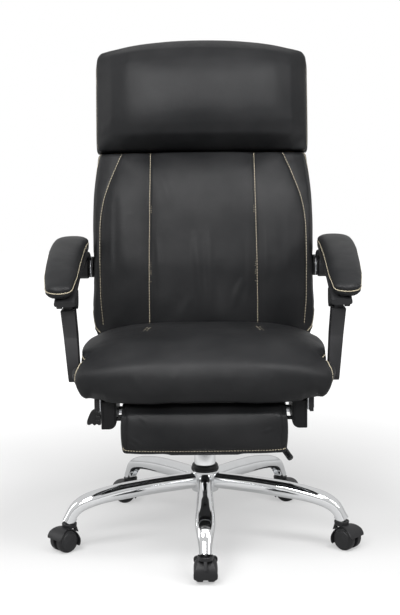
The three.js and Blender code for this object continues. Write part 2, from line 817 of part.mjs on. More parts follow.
// A footrest arm: a covered block with a rounded lower inner corner and the stud that the pad turns on
function footrestArm(side) {
  const inner = armCoverInner;
  const outer = armCoverInner + armCoverWidth;
  const shape = new THREE.Shape();
  const cornerX = inner + armCoverRadius;
  const cornerZ = armCoverBottom + armCoverRadius;
  shape.moveTo(outer, armCoverBottom);
  shape.lineTo(outer, armCoverTop);
  shape.lineTo(inner, armCoverTop);
  shape.lineTo(inner, cornerZ);
  shape.absarc(cornerX, cornerZ, armCoverRadius, Math.PI, Math.PI * 1.5, false);
  const cover = plateY(shape, armCoverFront, armCoverFront + armCoverLength, smallSides / 2);
  const stud = barBetween('x', padPinRadius, inner + weld, inner - padPinLength, [padPivotY, padPivotZ]);
  const right = geometryOf(joined(cover, stud));
  return side > 0 ? right : faced(right.applyMatrix4(new THREE.Matrix4().makeScale(-1, 1, 1)));
}

// Turns the faces of a mirrored shape out again.
function faced(geometry) {
  const bare = geometry.index ? geometry.toNonIndexed() : geometry.clone();
  const place = bare.attributes.position;
  for (let i = 0; i < place.count; i += 3) {
    const second = new THREE.Vector3().fromBufferAttribute(place, i + 1);
    const third = new THREE.Vector3().fromBufferAttribute(place, i + 2);
    place.setXYZ(i + 1, third.x, third.y, third.z);
    place.setXYZ(i + 2, second.x, second.y, second.z);
  }
  bare.computeVertexNormals();
  return bare;
}

for (const [sideName, side] of [['left', -1], ['right', 1]]) {
  put(chair, `side_bracket_${sideName}`, sideBracket(side), steel);
  put(chair, `footrest_rail_${sideName}`, fixedRail(side), zinc);
  put(chair, `slide_rail_${sideName}`, slideRail(side), zinc);
  put(chair, `footrest_arm_${sideName}`, footrestArm(side), blackPlastic);
}

const crossbarHalf = armCoverInner - seatGap;
put(
  chair, 'footrest_crossbar',
  barBetween('x', crossbarRadius, -crossbarHalf, crossbarHalf, [crossbarY, crossbarZ]),
  steel);

// Footrest pad, in its own frame about the studs: y to the rear, z up
const padTurn = new THREE.Group();
padTurn.position.set(0, padPivotY, padPivotZ);
padTurn.rotation.x = radians(padLeanDegrees);
chair.add(padTurn);

function padFrame() {
  const halfWidth = padHalfWidth - padFrameMargin;
  const earOuter = padHalfWidth - padEarInset;
  const earRound = padPinRadius * 2;
  const plate = boxBetween([-halfWidth - padFrameMargin / 2, -padBackset, padFrameMargin - padBottomReach],
    [halfWidth + padFrameMargin / 2, padFrameWall - padBackset, padTopReach - padFrameMargin]);
  const ears = [-1, 1].map((side) => {
    const shape = new THREE.Shape();
    shape.moveTo(-padBackset, -earRound);
    shape.lineTo(0, -earRound);
    shape.absarc(0, 0, earRound, -Math.PI / 2, Math.PI / 2, false);
    shape.lineTo(-padBackset, earRound);
    return plateX(shape, side * (earOuter - padEarWall), side * earOuter);
  });
  const holes = [-1, 1].map((side) => boreBetween(
    'x', padPinRadius + seatGap, side * (earOuter - padEarWall - overrun), side * (earOuter + overrun), [0, 0],
  ));
  return cut(joined(plate, ...ears), ...holes);
}

function padForm(x, y, z) {
  const side = Math.abs(x);
  const level = Math.abs(z);
  const rim = Math.max(side ** 6, level ** 4);
  const back = -padBackset - seatGap;
  const front = back - padThickness + padCrown * rim;
  const pull = padCrown * (1 - y) * 0.25;
  const half = padHalfWidth - pull * level ** 4;
  const middle = (padTopReach - padBottomReach) / 2;
  const halfHeight = (padTopReach + padBottomReach) / 2 - pull * side ** 6;
  return [x * half, THREE.MathUtils.lerp(front, back, (y + 1) / 2), middle + z * halfHeight];
}

put(padTurn, 'footrest_frame', padFrame(), steel);
put(padTurn, 'footrest_cushion', paddedForm(10, 3, 6, padForm), leather);

// Recline lever on the left and height lever on the right
function reclineLever() {
  const line = [reclineShaftY, reclineShaftZ];
  const paddleOuter = paddleInner + paddleWidth;
  const shaftEnd = paddleOuter - paddleThickness;
  const shaft = barBetween('x', reclineShaftRadius, -reclineShaftInner, -shaftEnd, line);
  put(chair, 'recline_shaft', shaft, steel);

  const half = paddleHeight / 2;
  const neck = half * 0.6;
  const shape = new THREE.Shape();
  shape.moveTo(-paddleInner, reclineShaftZ - neck);
  shape.lineTo(-paddleInner, reclineShaftZ + neck);
  shape.quadraticCurveTo(-(paddleInner + paddleOuter) / 2, reclineShaftZ + half, -paddleOuter + neck / 2,
    reclineShaftZ + half);
  shape.quadraticCurveTo(-paddleOuter, reclineShaftZ + half, -paddleOuter, reclineShaftZ + neck);
  shape.lineTo(-paddleOuter, reclineShaftZ - neck);
  shape.quadraticCurveTo(-paddleOuter + neck / 2, reclineShaftZ - half, -(paddleInner + paddleOuter) / 2,
    reclineShaftZ - half);
  const low = reclineShaftY - paddleThickness / 2;
  const blade = plateY(shape, low, low + paddleThickness, smallSides / 2);
  const boreEnd = -shaftEnd - seatGap;
  const bore = boreBetween('x', reclineShaftRadius + seatGap, -paddleInner + overrun, boreEnd, line);
  const collar = barBetween('x', paddleThickness * 0.7, -paddleInner, -shaftEnd - seatGap * 2 - railWall, line);
  put(chair, 'recline_paddle', cut(joined(blade, collar), bore), blackPlastic);
}

function liftLever() {
  const inner = new THREE.Vector3(-liftRodRadius, 0, liftHingeZ);
  const hinge = new THREE.Vector3(liftHingeX, 0, liftHingeZ);
  const bend = new THREE.Vector3(liftBendX, 0, liftBendZ);
  const tip = new THREE.Vector3(liftTipX, liftTipY, liftTipZ);
  const heading = new THREE.Vector3().subVectors(tip, bend).normalize();
  const gripStart = tip.clone().addScaledVector(heading, -gripLength);
  const rodEnd = tip.clone().addScaledVector(heading, -gripRadius);
  const middle = gripStart.clone().lerp(rodEnd, 0.5);
  const path = new THREE.CatmullRomCurve3([inner, hinge, bend, gripStart, middle, rodEnd]);
  const section = new THREE.Shape().absarc(0, 0, liftRodRadius, 0, Math.PI * 2, false);
  const rod = new THREE.ExtrudeGeometry(section, { steps: 13, extrudePath: path, curveSegments: 4 });
  const pinReach = liftRodRadius + runningGap + liftEarWall;
  const pin = barBetween('y', liftHingePinRadius, -pinReach, pinReach, liftHinge, smallSides);
  put(chair, 'lift_lever_rod', joined(rod, pin), steel);

  const boreStart = gripStart.clone().addScaledVector(heading, -overrun);
  const boreEnd = rodEnd.clone().addScaledVector(heading, seatGap);
  const bore = barFrom(boreStart, boreEnd, liftRodRadius + seatGap, roundSides);
  put(chair, 'lift_lever_grip', cut(barFrom(gripStart, tip, gripRadius), bore), blackPlastic);
}

reclineLever();
liftLever();

// The back, in its own leaned frame about the hinge: y to the rear, z up the back
const backTurn = new THREE.Group();
backTurn.position.set(0, hingeY, hingeZ);
backTurn.rotation.x = -radians(leanDegrees);
chair.add(backTurn);

const lean = radians(leanDegrees);
const pivotInBack = [
  linkRun * Math.cos(lean) - linkRise * Math.sin(lean),
  linkRun * Math.sin(lean) + linkRise * Math.cos(lean),
];
const pinHole = hingePinRadius + seatGap;
const plateOuter = backPlatePlace + backPlateWall;
const pivotDiscOuter = pivotDiscInner + pivotDiscThickness;

function bothSides(make) {
  return [-1, 1].map(make);
}

function betweenX(side, near, far) {
  return [Math.min(side * near, side * far), Math.max(side * near, side * far)];
}

put(backTurn, 'back_board', boxBetween([-backBoardHalfWidth, 0, backBoardBottom],
  [backBoardHalfWidth, backBoardThickness, backBoardTop]), plywood);

// Room for the board, the hinge plates, the arm pivots and the seat's ears inside the padding
function backRoom() {
  const board = boxBetween(
    [-backBoardHalfWidth - seatGap, -seatGap, backBoardBottom - overrun],
    [backBoardHalfWidth + seatGap, backBoardThickness + backWrap, backBoardTop + seatGap],
  );
  const plates = bothSides((side) => plateX(
    strap([0, 0], pivotInBack, backPlateWidth / 2 + runningGap, backPlateWidth / 2 + runningGap - weld),
    side * (backPlatePlace - runningGap), side * (plateOuter + runningGap),
  ));
  const flanges = bothSides((side) => {
    const [low, high] = betweenX(side, plateOuter - backPlateFlange - runningGap, plateOuter);
    return boxBetween([low, -backPlateWall - runningGap, backPlateFlangeBottom - runningGap],
      [high, runningGap, backPlateFlangeTop + runningGap]);
  });
  const axles = bothSides((side) => boreBetween(
    'x', pinHole, side * backPlatePlace, side * (pivotDiscOuter + overrun), pivotInBack,
  ));
  const discs = bothSides((side) => boreBetween(
    'x', pivotDiscRadius + runningGap, side * (pivotDiscInner - runningGap), side * (pivotDiscOuter + overrun),
    pivotInBack,
  ));
  return [board, ...plates, ...flanges, ...axles, ...discs, ...cornerRooms(-earRadius - runningGap)];
}

function cornerRooms(front) {
  return bothSides((side) => {
    const [low, high] = betweenX(side, backBoardHalfWidth, backWaistHalfWidth + overrun);
    return boxBetween([low, front, backBoardBottom - overrun], [high, backBoardThickness * 4, cornerNotch]);
  });
}

function backForm(x, y, z) {
  const level = (z + 1) / 2;
  const side = Math.abs(x);
  const widths = [backFootHalfWidth, backWaistHalfWidth, backWaistHalfWidth, backWaistHalfWidth,
    (backWaistHalfWidth + backNeckHalfWidth) / 2, backNeckHalfWidth];
  const half = through(widths, level);
  const beyondSeam = (side * 2 - 1) * (half - backSeamPlace);
  const seamedX = side < 0.5 ? side * 2 * backSeamPlace : backSeamPlace + beyondSeam;
  const lumbarShare = lumbarHeight / backCushionTop;
  const depth = level < lumbarShare
    ? through([backFootDepth, (backFootDepth + backLumbarDepth) / 2, backLumbarDepth], level / lumbarShare)
    : through([backLumbarDepth, backLumbarDepth, backNeckDepth], (level - lumbarShare) / (1 - lumbarShare));
  const drop = backEdgeDrop * side ** 5 + backSeamDepth * groove(seamedX - backSeamPlace, backSeamReach);
  const rim = (backSeamDepth * Math.abs(z) ** 8) * 2;
  const front = -depth + (y < 0 ? drop + rim : 0);
  const inset = backSeamDepth * (side === 1 ? (1 - y) / 2 : 0);
  const height = THREE.MathUtils.lerp(backCushionBottom, backCushionTop, level);
  return [Math.sign(x) * (seamedX - inset), THREE.MathUtils.lerp(front, backWrap, (y + 1) / 2), height];
}

function headrestForm(x, y, z) {
  const side = Math.abs(x);
  const rise = Math.abs(z);
  const corner = headrestCorner * side ** 6 * Math.max(0, z) ** 6;
  const arch = topArch * x * x * Math.max(0, z);
  const bottom = backCushionTop + seatGap;
  const swell = (1 - side ** 5) * (1 - rise ** 4);
  const front = -headrestRim - (headrestDepth - headrestRim) * swell;
  const tuck = (backSeamDepth * (1 - y)) / 2;
  const half = headrestHalfWidth - tuck * (side === 1 ? 1 : 0) - corner;
  const middle = (bottom + headrestTop) / 2;
  const halfHeight = (headrestTop - bottom) / 2 - tuck * (z === 1 ? 1 : 0) - corner / 2;
  return [x * half, THREE.MathUtils.lerp(front, backWrap, (y + 1) / 2), middle + z * halfHeight - arch];
}

function rearPanelForm(x, y, z) {
  const start = Math.max(backWrap, backBoardThickness) + seatGap;
  const swell = (1 - Math.abs(x) ** 6) * (1 - Math.abs(z) ** 10);
  const rear = start + rearPanelThickness * THREE.MathUtils.lerp(rearPanelEdgeShare, 1, swell);
  const middle = (backCushionBottom + rearPanelTop) / 2;
  const halfHeight = (rearPanelTop - backCushionBottom) / 2;
  const arch = topArch * x * x * Math.max(0, z);
  return [x * rearPanelHalfWidth, THREE.MathUtils.lerp(start, rear, (y + 1) / 2), middle + z * halfHeight - arch];
}

put(backTurn, 'back_cushion', cut(paddedForm(12, 3, 10, backForm), ...backRoom()), leather);
put(backTurn, 'headrest_cushion', cut(paddedForm(12, 4, 8, headrestForm), backRoom()[0]), leather);
put(backTurn, 'back_rear_panel',
  cut(paddedForm(8, 1, 10, rearPanelForm), ...cornerRooms(0)), leather);

function backPlate(side) {
  const [low, high] = betweenX(side, plateOuter - backPlateFlange, plateOuter);
  const round = backPlateWidth / 2;
  const plate = plateX(strap([0, 0], pivotInBack, round, round - weld), side * backPlatePlace, side * plateOuter);
  const flange = boxBetween([low, -seatGap - backPlateWall, backPlateFlangeBottom],
    [high, -seatGap, backPlateFlangeTop]);
  const from = side * (backPlatePlace - overrun);
  const to = side * (plateOuter + overrun);
  return cut(
    joined(plate, flange),
    boreBetween('x', pinHole, from, to, [0, 0]),
    boreBetween('x', pinHole, from, to, pivotInBack),
  );
}

// Arms, arm posts and their pivots, in the chair's frame
const armPivot = [hingeY + linkRun, hingeZ + linkRise];
const postFoot = [postFootY, postFootZ];
const postHead = [postFootY + linkRun, postFootZ + linkRise];
const armEyeInner = pivotDiscOuter + runningGap;
const armEyeOuter = armEyeInner + armEyeThickness;
const pivotPinEnd = armEyeOuter - hoodWall;

function pivotDisc(side) {
  return joined(
    barBetween('x', pivotDiscRadius, side * pivotDiscInner, side * pivotDiscOuter, armPivot),
    barBetween('x', hingePinRadius, side * backPlatePlace, side * pivotPinEnd, armPivot),
  );
}

function armCurve(side) {
  const points = armPathShares.map(([run, rise]) => new THREE.Vector3(
    side * armPadPlace,
    THREE.MathUtils.lerp(armRearY, armFrontY, run),
    THREE.MathUtils.lerp(armFrontZ, armTopZ, rise),
  ));
  return new THREE.CatmullRomCurve3(points);
}

function armPad(side) {
  const widthShares = [0.8, 1, 1, 1, 1, 0.82];
  const heightShares = [0.72, 1, 1, 1, 0.98, 0.85];
  const height = (share) => armPadHeight * through(heightShares, share);
  const pad = bentBar(armCurve(side), axisX, {
    width: (share) => armPadWidth * through(widthShares, share),
    height,
    lift: (share) => height(share) / 2 + seatGap,
    squareness: 0.62,
    sides: 12,
    steps: 11,
  });
  const eye = boreBetween('x', armEyeRadius + seatGap, side * (armEyeInner - overrun),
    side * (armEyeOuter + overrun), armPivot);
  return cut(pad, eye);
}

function armFrame(side) {
  const bar = bentBar(armCurve(side), axisX, {
    width: () => armBarWidth,
    height: () => armBarHeight,
    lift: () => -armBarHeight / 2,
    squareness: 0.5,
    sides: 8,
    steps: 11,
  });
  bar.translate(side * (clevisPlace - armPadPlace), 0, 0);
  const eye = barBetween('x', armEyeRadius, side * armEyeInner, side * armEyeOuter, armPivot);
  const half = clevisDepth / 2;
  const block = new THREE.Shape();
  block.absarc(postHead[0], postHead[1], half, Math.PI, Math.PI * 2, false);
  block.lineTo(postHead[0] + half, postHead[1] + clevisRise);
  block.lineTo(postHead[0] - half, postHead[1] + clevisRise);
  const inner = clevisPlace - clevisWidth / 2;
  const outer = clevisPlace + clevisWidth / 2;
  const [slotLow, slotHigh] = betweenX(side, clevisPlace - clevisSlot / 2, clevisPlace + clevisSlot / 2);
  const slot = boxBetween([slotLow, postHead[0] - half - overrun, postHead[1] - half - overrun],
    [slotHigh, postHead[0] + half + overrun, postHead[1] + tongueRadius + runningGap]);
  const body = cut(
    joined(bar, eye, plateX(block, side * inner, side * outer)),
    slot,
    boreBetween('x', pinHole, side * (armEyeInner - overrun), side * (pivotPinEnd + seatGap), armPivot),
    boreBetween('x', pivotDiscRadius + runningGap, side * (pivotDiscInner - overrun), side * armEyeInner, armPivot),
  );
  const pin = barBetween('x', armPinRadius, side * (inner + hoodWall), side * (outer - hoodWall), postHead);
  return joined(body, pin);
}

// A post stands on the bracket's stud, leans outwards and ends in a tongue between the arm's cheeks
function armPost(side) {
  const shoulder = postHead[1] - clevisDepth / 2 - runningGap * 1.3;
  const half = postHeadDepth / 2;
  const body = new THREE.Shape();
  body.absarc(postFoot[0], postFoot[1], postFootRadius, Math.PI, Math.PI * 2, false);
  body.lineTo(postHead[0] + half, (postHead[1] + postFoot[1]) / 2);
  body.lineTo(postHead[0] + half, shoulder);
  body.lineTo(postHead[0] - half, shoulder);
  body.lineTo(postHead[0] - half, (postHead[1] + postFoot[1]) / 2);
  const tongue = new THREE.Shape();
  tongue.absarc(postHead[0], postHead[1], tongueRadius, 0, Math.PI, false);
  tongue.lineTo(postHead[0] - tongueRadius, shoulder - weld);
  tongue.lineTo(postHead[0] + tongueRadius, shoulder - weld);
  const halfBody = postWidth / 2;
  const halfTongue = tongueWidth / 2;
  const post = geometryOf(joined(plateX(body, -halfBody, halfBody), plateX(tongue, -halfTongue, halfTongue)));
  const place = post.attributes.position;
  for (let i = 0; i < place.count; i += 1) {
    const rise = (place.getZ(i) - postFoot[1]) / linkRise;
    place.setX(i, place.getX(i) + side * THREE.MathUtils.lerp(postFootPlace, clevisPlace, rise));
  }
  const studEnd = postFootPlace + postWidth / 4 + runningGap;
  return cut(
    post,
    boreBetween('x', pinHole, side * (postFootPlace - postWidth), side * studEnd, postFoot),
    boreBetween('x', armPinRadius + runningGap, side * (clevisPlace - clevisWidth), side * (clevisPlace + clevisWidth),
      postHead),
  );
}

for (const [sideName, side] of [['left', -1], ['right', 1]]) {
  put(backTurn, `back_plate_${sideName}`, backPlate(side), steel);
  put(chair, `arm_pivot_${sideName}`, pivotDisc(side), blackPlastic);
  put(chair, `arm_pad_${sideName}`, armPad(side), leather);
  put(chair, `arm_frame_${sideName}`, armFrame(side), blackPlastic);
  put(chair, `arm_post_${sideName}`, armPost(side), blackPlastic);
}

// The origin is on the floor, under the middle of the chair's outline
const panelEdge = backWrap + rearPanelThickness * rearPanelEdgeShare;
const rearReach = hingeY + rearPanelTop * Math.sin(lean) + panelEdge * Math.cos(lean);
const frontReach = casterTrail - stemReach - wheelRadius - hoodClearance - hoodWall;
chair.position.y = -(rearReach + frontReach) / 2;

export default chair;
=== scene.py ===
import json
import math

import bmesh
import bpy
import numpy as np
from mathutils import Matrix, Vector
from mathutils.bvhtree import BVHTree


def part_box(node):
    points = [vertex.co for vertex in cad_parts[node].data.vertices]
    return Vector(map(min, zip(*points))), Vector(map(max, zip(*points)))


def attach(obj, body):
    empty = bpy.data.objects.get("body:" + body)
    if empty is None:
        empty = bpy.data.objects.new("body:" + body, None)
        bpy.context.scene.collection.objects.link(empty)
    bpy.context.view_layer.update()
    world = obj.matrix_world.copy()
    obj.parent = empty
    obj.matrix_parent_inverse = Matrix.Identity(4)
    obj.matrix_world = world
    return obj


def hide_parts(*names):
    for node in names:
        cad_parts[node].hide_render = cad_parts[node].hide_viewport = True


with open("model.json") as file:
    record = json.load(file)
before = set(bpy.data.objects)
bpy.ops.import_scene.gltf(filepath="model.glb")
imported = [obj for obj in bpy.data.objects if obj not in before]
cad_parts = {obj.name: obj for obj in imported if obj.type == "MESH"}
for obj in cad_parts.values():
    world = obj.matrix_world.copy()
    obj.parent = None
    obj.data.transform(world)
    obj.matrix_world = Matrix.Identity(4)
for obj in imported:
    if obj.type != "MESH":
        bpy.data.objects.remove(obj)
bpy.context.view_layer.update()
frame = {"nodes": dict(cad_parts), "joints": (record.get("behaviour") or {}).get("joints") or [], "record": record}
print("frame loaded:", len(frame["nodes"]), "nodes")

# The view of the photograph: a long lens, a little above the arms, looking slightly down
view = {
    "height": 615,
    "focalPixels": 1272.9,
    "filmHeight": 24.0,
    "place": (0.0072, -2.8212, 0.9568),
    "tiltDegrees": 8.716,
    "panDegrees": 0.301,
    "rollDegrees": -0.6,
}


def placeCamera():
    lens = bpy.data.cameras.new("photoCamera")
    lens.sensor_fit = "VERTICAL"
    lens.sensor_height = view["filmHeight"]
    lens.lens = view["focalPixels"] * view["filmHeight"] / view["height"]
    camera = bpy.data.objects.new("photoCamera", lens)
    camera.location = view["place"]
    turn = Matrix.Rotation(math.radians(view["panDegrees"]), 4, "Z")
    turn @= Matrix.Rotation(math.radians(90 - view["tiltDegrees"]), 4, "X")
    turn @= Matrix.Rotation(math.radians(view["rollDegrees"]), 4, "Z")
    camera.rotation_euler = turn.to_euler()
    bpy.context.scene.collection.objects.link(camera)
    bpy.context.scene.camera = camera


placeCamera()
bpy.context.scene.view_settings.view_transform = "Standard"

# Studio: soft boxes round the chair, a white background and a floor that keeps the shadow
studio = {
    "floorColor": (0.38, 0.38, 0.38, 1.0),
    # floorGlow is the floor's glow near the chair. It rises to full glow from fadeFrom to fadeTo, so the floor round
    # the chair is painted greyer: painted shade, on top of the real shadow it keeps.
    "floorGlow": 0.42,
    "glowInGloss": 0.4,
    "fadeFrom": 0.5,
    "fadeTo": 1.7,
    "floorSize": 12.0,
    "dimLevel": 0.34,
    "reflectedLevel": 0.66,
    "lowReflection": 0.42,
    "horizon": (0.42, 0.62),  # where the reflected surroundings turn from dim to bright
    "boxes": [  # place, aim, width, height, power
        ((-0.6, -2.6, 1.9), (0.0, 0.0, 0.7), 1.4, 0.7, 44),
        ((1.9, -1.3, 1.7), (0.0, 0.0, 0.6), 0.9, 1.4, 18),
        ((-0.6, -0.85, 1.65), (-0.1, -0.15, 0.5), 0.7, 0.4, 15),
        ((0.6, -0.85, 1.65), (0.1, -0.15, 0.5), 0.7, 0.4, 15),
        ((0.0, -0.6, 3.0), (0.0, 0.0, 0.5), 2.0, 0.8, 8),
        ((-2.3, 0.4, 1.2), (0.0, 0.0, 0.6), 0.7, 1.6, 9),
    ],
}


def nodeMaterial(name):
    made = bpy.data.materials.new(name)
    made.use_nodes = True
    tree = made.node_tree
    shader = next(node for node in tree.nodes if node.type == "BSDF_PRINCIPLED")
    return made, tree, shader


def setInputs(node, values):
    for entry, value in values.items():
        node.inputs[entry].default_value = value


# Inputs are values for the node's own sockets, settings are its options.
def addNode(tree, kind, inputs=None, **settings):
    node = tree.nodes.new(kind)
    for name, setting in settings.items():
        setattr(node, name, setting)
    setInputs(node, inputs or {})
    return node


def wire(tree, source, output, target, entry):
    tree.links.new(source.outputs[output], target.inputs[entry])


def buildFloor():
    half = studio["floorSize"] / 2
    mesh = bpy.data.meshes.new("floor")
    mesh.from_pydata([(-half, -half, 0), (half, -half, 0), (half, half, 0), (-half, half, 0)], [], [(0, 1, 2, 3)])
    floor = bpy.data.objects.new("floor", mesh)
    bpy.context.scene.collection.objects.link(floor)
    paint, tree, shader = nodeMaterial("paleFloor")
    setInputs(shader, {"Base Color": studio["floorColor"], "Roughness": 0.9, "Specular IOR Level": 0.0})
    rays = addNode(tree, "ShaderNodeLightPath")
    coords = addNode(tree, "ShaderNodeTexCoord")
    reach = addNode(tree, "ShaderNodeVectorMath", operation="LENGTH")
    wire(tree, coords, "Object", reach, 0)
    # The glow is weakest near the chair and full far off. This is painted shade round the chair, added to the shadow
    # the lamps cast.
    fade = addNode(tree, "ShaderNodeMapRange", {"From Min": studio["fadeFrom"], "From Max": studio["fadeTo"],
                                                "To Min": studio["floorGlow"], "To Max": 1.0})
    wire(tree, reach, "Value", fade, "Value")
    glow = addNode(tree, "ShaderNodeMath", operation="MULTIPLY")
    wire(tree, fade, 0, glow, 1)
    seen = addNode(tree, "ShaderNodeMath", {1: studio["glowInGloss"]}, operation="MULTIPLY_ADD")
    mirrored = addNode(tree, "ShaderNodeMath", operation="MAXIMUM")
    wire(tree, rays, "Is Glossy Ray", mirrored, 0)
    wire(tree, rays, "Is Transmission Ray", mirrored, 1)
    wire(tree, mirrored, 0, seen, 0)
    wire(tree, rays, "Is Camera Ray", seen, 2)
    wire(tree, seen, 0, glow, 0)
    setInputs(shader, {"Emission Color": (1, 1, 1, 1)})
    wire(tree, glow, 0, shader, "Emission Strength")
    mesh.materials.append(paint)


def lightWorld():
    world = bpy.data.worlds.new("studioWorld")
    bpy.context.scene.world = world
    world.use_nodes = True
    tree = world.node_tree
    tree.nodes.clear()
    output = addNode(tree, "ShaderNodeOutputWorld")
    dim = addNode(tree, "ShaderNodeBackground", {"Strength": studio["dimLevel"], "Color": (1, 1, 1, 1)})
    bright = addNode(tree, "ShaderNodeBackground", {"Strength": 1.0, "Color": (1, 1, 1, 1)})
    shine = addNode(tree, "ShaderNodeBackground", {"Strength": studio["reflectedLevel"]})
    rays = addNode(tree, "ShaderNodeLightPath")
    direction = addNode(tree, "ShaderNodeTexCoord")
    split = addNode(tree, "ShaderNodeSeparateXYZ")
    ramp = addNode(tree, "ShaderNodeValToRGB")
    dark, light = ramp.color_ramp.elements
    dark.position, light.position = studio["horizon"]
    dark.color = (*[studio["lowReflection"]] * 3, 1)
    light.color = (1, 1, 1, 1)
    spread = addNode(tree, "ShaderNodeMapRange", {"From Min": -1})
    wire(tree, direction, "Generated", split, 0)
    wire(tree, split, "Z", spread, "Value")
    wire(tree, spread, 0, ramp, "Fac")
    wire(tree, ramp, "Color", shine, "Color")
    glossy = addNode(tree, "ShaderNodeMixShader")
    seen = addNode(tree, "ShaderNodeMixShader")
    either = addNode(tree, "ShaderNodeMath", operation="MAXIMUM")
    wire(tree, rays, "Is Glossy Ray", either, 0)
    wire(tree, rays, "Is Transmission Ray", either, 1)
    wire(tree, either, 0, glossy, 0)
    wire(tree, dim, 0, glossy, 1)
    wire(tree, shine, 0, glossy, 2)
    wire(tree, rays, "Is Camera Ray", seen, 0)
    wire(tree, glossy, 0, seen, 1)
    wire(tree, bright, 0, seen, 2)
    wire(tree, seen, 0, output, "Surface")
    for order, (place, aim, width, height, power) in enumerate(studio["boxes"]):
        lamp = bpy.data.lights.new(f"softBox{order}", "AREA")
        lamp.shape = "RECTANGLE"
        lamp.size = width
        lamp.size_y = height
        lamp.energy = power
        box = bpy.data.objects.new(f"softBox{order}", lamp)
        box.location = place
        box.rotation_euler = (Vector(aim) - Vector(place)).to_track_quat("-Z", "Y").to_euler()
        box.visible_camera = False
        bpy.context.scene.collection.objects.link(box)


buildFloor()
lightWorld()
print("studio ready")

# Finishes
leatherFinish = {"dark": (0.0085, 0.0088, 0.0095), "worn": (0.017, 0.0172, 0.018), "roughness": 0.4, "grain": 620.0,
                 "grainDepth": 0.22, "crease": 38.0, "creaseDepth": 0.16, "sheen": 0.165}
threadFinish = {"color": (0.42, 0.37, 0.27), "roughness": 0.75, "twist": 900.0}
chromeFinish = {"color": (0.86, 0.87, 0.88), "roughness": 0.06, "polish": 26.0}
plywoodFinish = {"dark": (0.33, 0.2, 0.1), "light": (0.55, 0.38, 0.21), "layers": 90.0,
                 "cloth": (0.012, 0.012, 0.013, 1)}


def linkBump(tree, shader, height, strength, distance=0.001):
    bump = addNode(tree, "ShaderNodeBump", {"Strength": strength, "Distance": distance})
    tree.links.new(height, bump.inputs["Height"])
    wire(tree, bump, 0, shader, "Normal")
    return bump


def noiseNode(tree, coords, scale, detail=3.0, roughness=0.5):
    grain = addNode(tree, "ShaderNodeTexNoise", {"Scale": scale, "Detail": detail, "Roughness": roughness})
    wire(tree, coords, "Object", grain, "Vector")
    return grain


def rampNode(tree, value, low, high, start=0.3, end=0.7):
    ramp = addNode(tree, "ShaderNodeValToRGB")
    first, last = ramp.color_ramp.elements
    first.position, last.position = start, end
    first.color, last.color = (*low, 1), (*high, 1)
    tree.links.new(value, ramp.inputs["Fac"])
    return ramp


def rangeNode(tree, value, low, high):
    span = addNode(tree, "ShaderNodeMapRange", {"To Min": low, "To Max": high})
    tree.links.new(value, span.inputs["Value"])
    return span


def leatherMaterial():
    made, tree, shader = nodeMaterial("grainedLeather")
    coords = addNode(tree, "ShaderNodeTexCoord")
    cells = addNode(tree, "ShaderNodeTexVoronoi", {"Scale": leatherFinish["grain"]}, feature="DISTANCE_TO_EDGE")
    stretch = noiseNode(tree, coords, leatherFinish["grain"] / 4)
    bend = addNode(tree, "ShaderNodeVectorMath", {1: (0.0022, 0.0022, 0.0022)}, operation="MULTIPLY_ADD")
    wire(tree, stretch, "Color", bend, 0)
    wire(tree, coords, "Object", bend, 2)
    wire(tree, bend, 0, cells, "Vector")
    creases = noiseNode(tree, coords, leatherFinish["crease"], 5.0, 0.62)
    patches = noiseNode(tree, coords, 9.0, 4.0)
    color = rampNode(tree, patches.outputs["Fac"], leatherFinish["dark"], leatherFinish["worn"], 0.35, 0.75)
    wire(tree, color, "Color", shader, "Base Color")
    gloss = rangeNode(tree, creases.outputs["Fac"], leatherFinish["roughness"] - 0.06, leatherFinish["roughness"] + 0.1)
    wire(tree, gloss, 0, shader, "Roughness")
    pores = rampNode(tree, cells.outputs["Distance"], (0, 0, 0), (1, 1, 1), 0.02, 0.2)
    grain = linkBump(tree, shader, pores.outputs["Color"], leatherFinish["grainDepth"], 0.0004)
    folds = addNode(tree, "ShaderNodeBump", {"Strength": leatherFinish["creaseDepth"], "Distance": 0.004})
    wire(tree, creases, "Fac", folds, "Height")
    wire(tree, folds, 0, grain, "Normal")
    setInputs(shader, {"Specular IOR Level": leatherFinish["sheen"], "IOR": 1.48})
    return made


def threadMaterial():
    made, tree, shader = nodeMaterial("creamThread")
    coords = addNode(tree, "ShaderNodeTexCoord")
    fibres = addNode(tree, "ShaderNodeTexWave", {"Scale": threadFinish["twist"], "Distortion": 2.0},
                     wave_type="BANDS", bands_direction="DIAGONAL")
    wire(tree, coords, "Object", fibres, "Vector")
    light = threadFinish["color"]
    shade = tuple(channel * 0.72 for channel in light)
    color = rampNode(tree, fibres.outputs["Fac"], shade, light)
    wire(tree, color, "Color", shader, "Base Color")
    setInputs(shader, {"Roughness": threadFinish["roughness"]})
    linkBump(tree, shader, fibres.outputs["Fac"], 0.5, 0.0003)
    return made


def chromeMaterial():
    made, tree, shader = nodeMaterial("polishedChrome")
    coords = addNode(tree, "ShaderNodeTexCoord")
    polish = noiseNode(tree, coords, chromeFinish["polish"], 3.0)
    color = rampNode(tree, polish.outputs["Fac"], tuple(c * 0.96 for c in chromeFinish["color"]), chromeFinish["color"])
    wire(tree, color, "Color", shader, "Base Color")
    setInputs(shader, {"Metallic": 1.0})
    gloss = rangeNode(tree, polish.outputs["Fac"], chromeFinish["roughness"] * 0.6, chromeFinish["roughness"] * 1.4)
    wire(tree, gloss, 0, shader, "Roughness")
    linkBump(tree, shader, polish.outputs["Fac"], 0.03, 0.002)
    return made


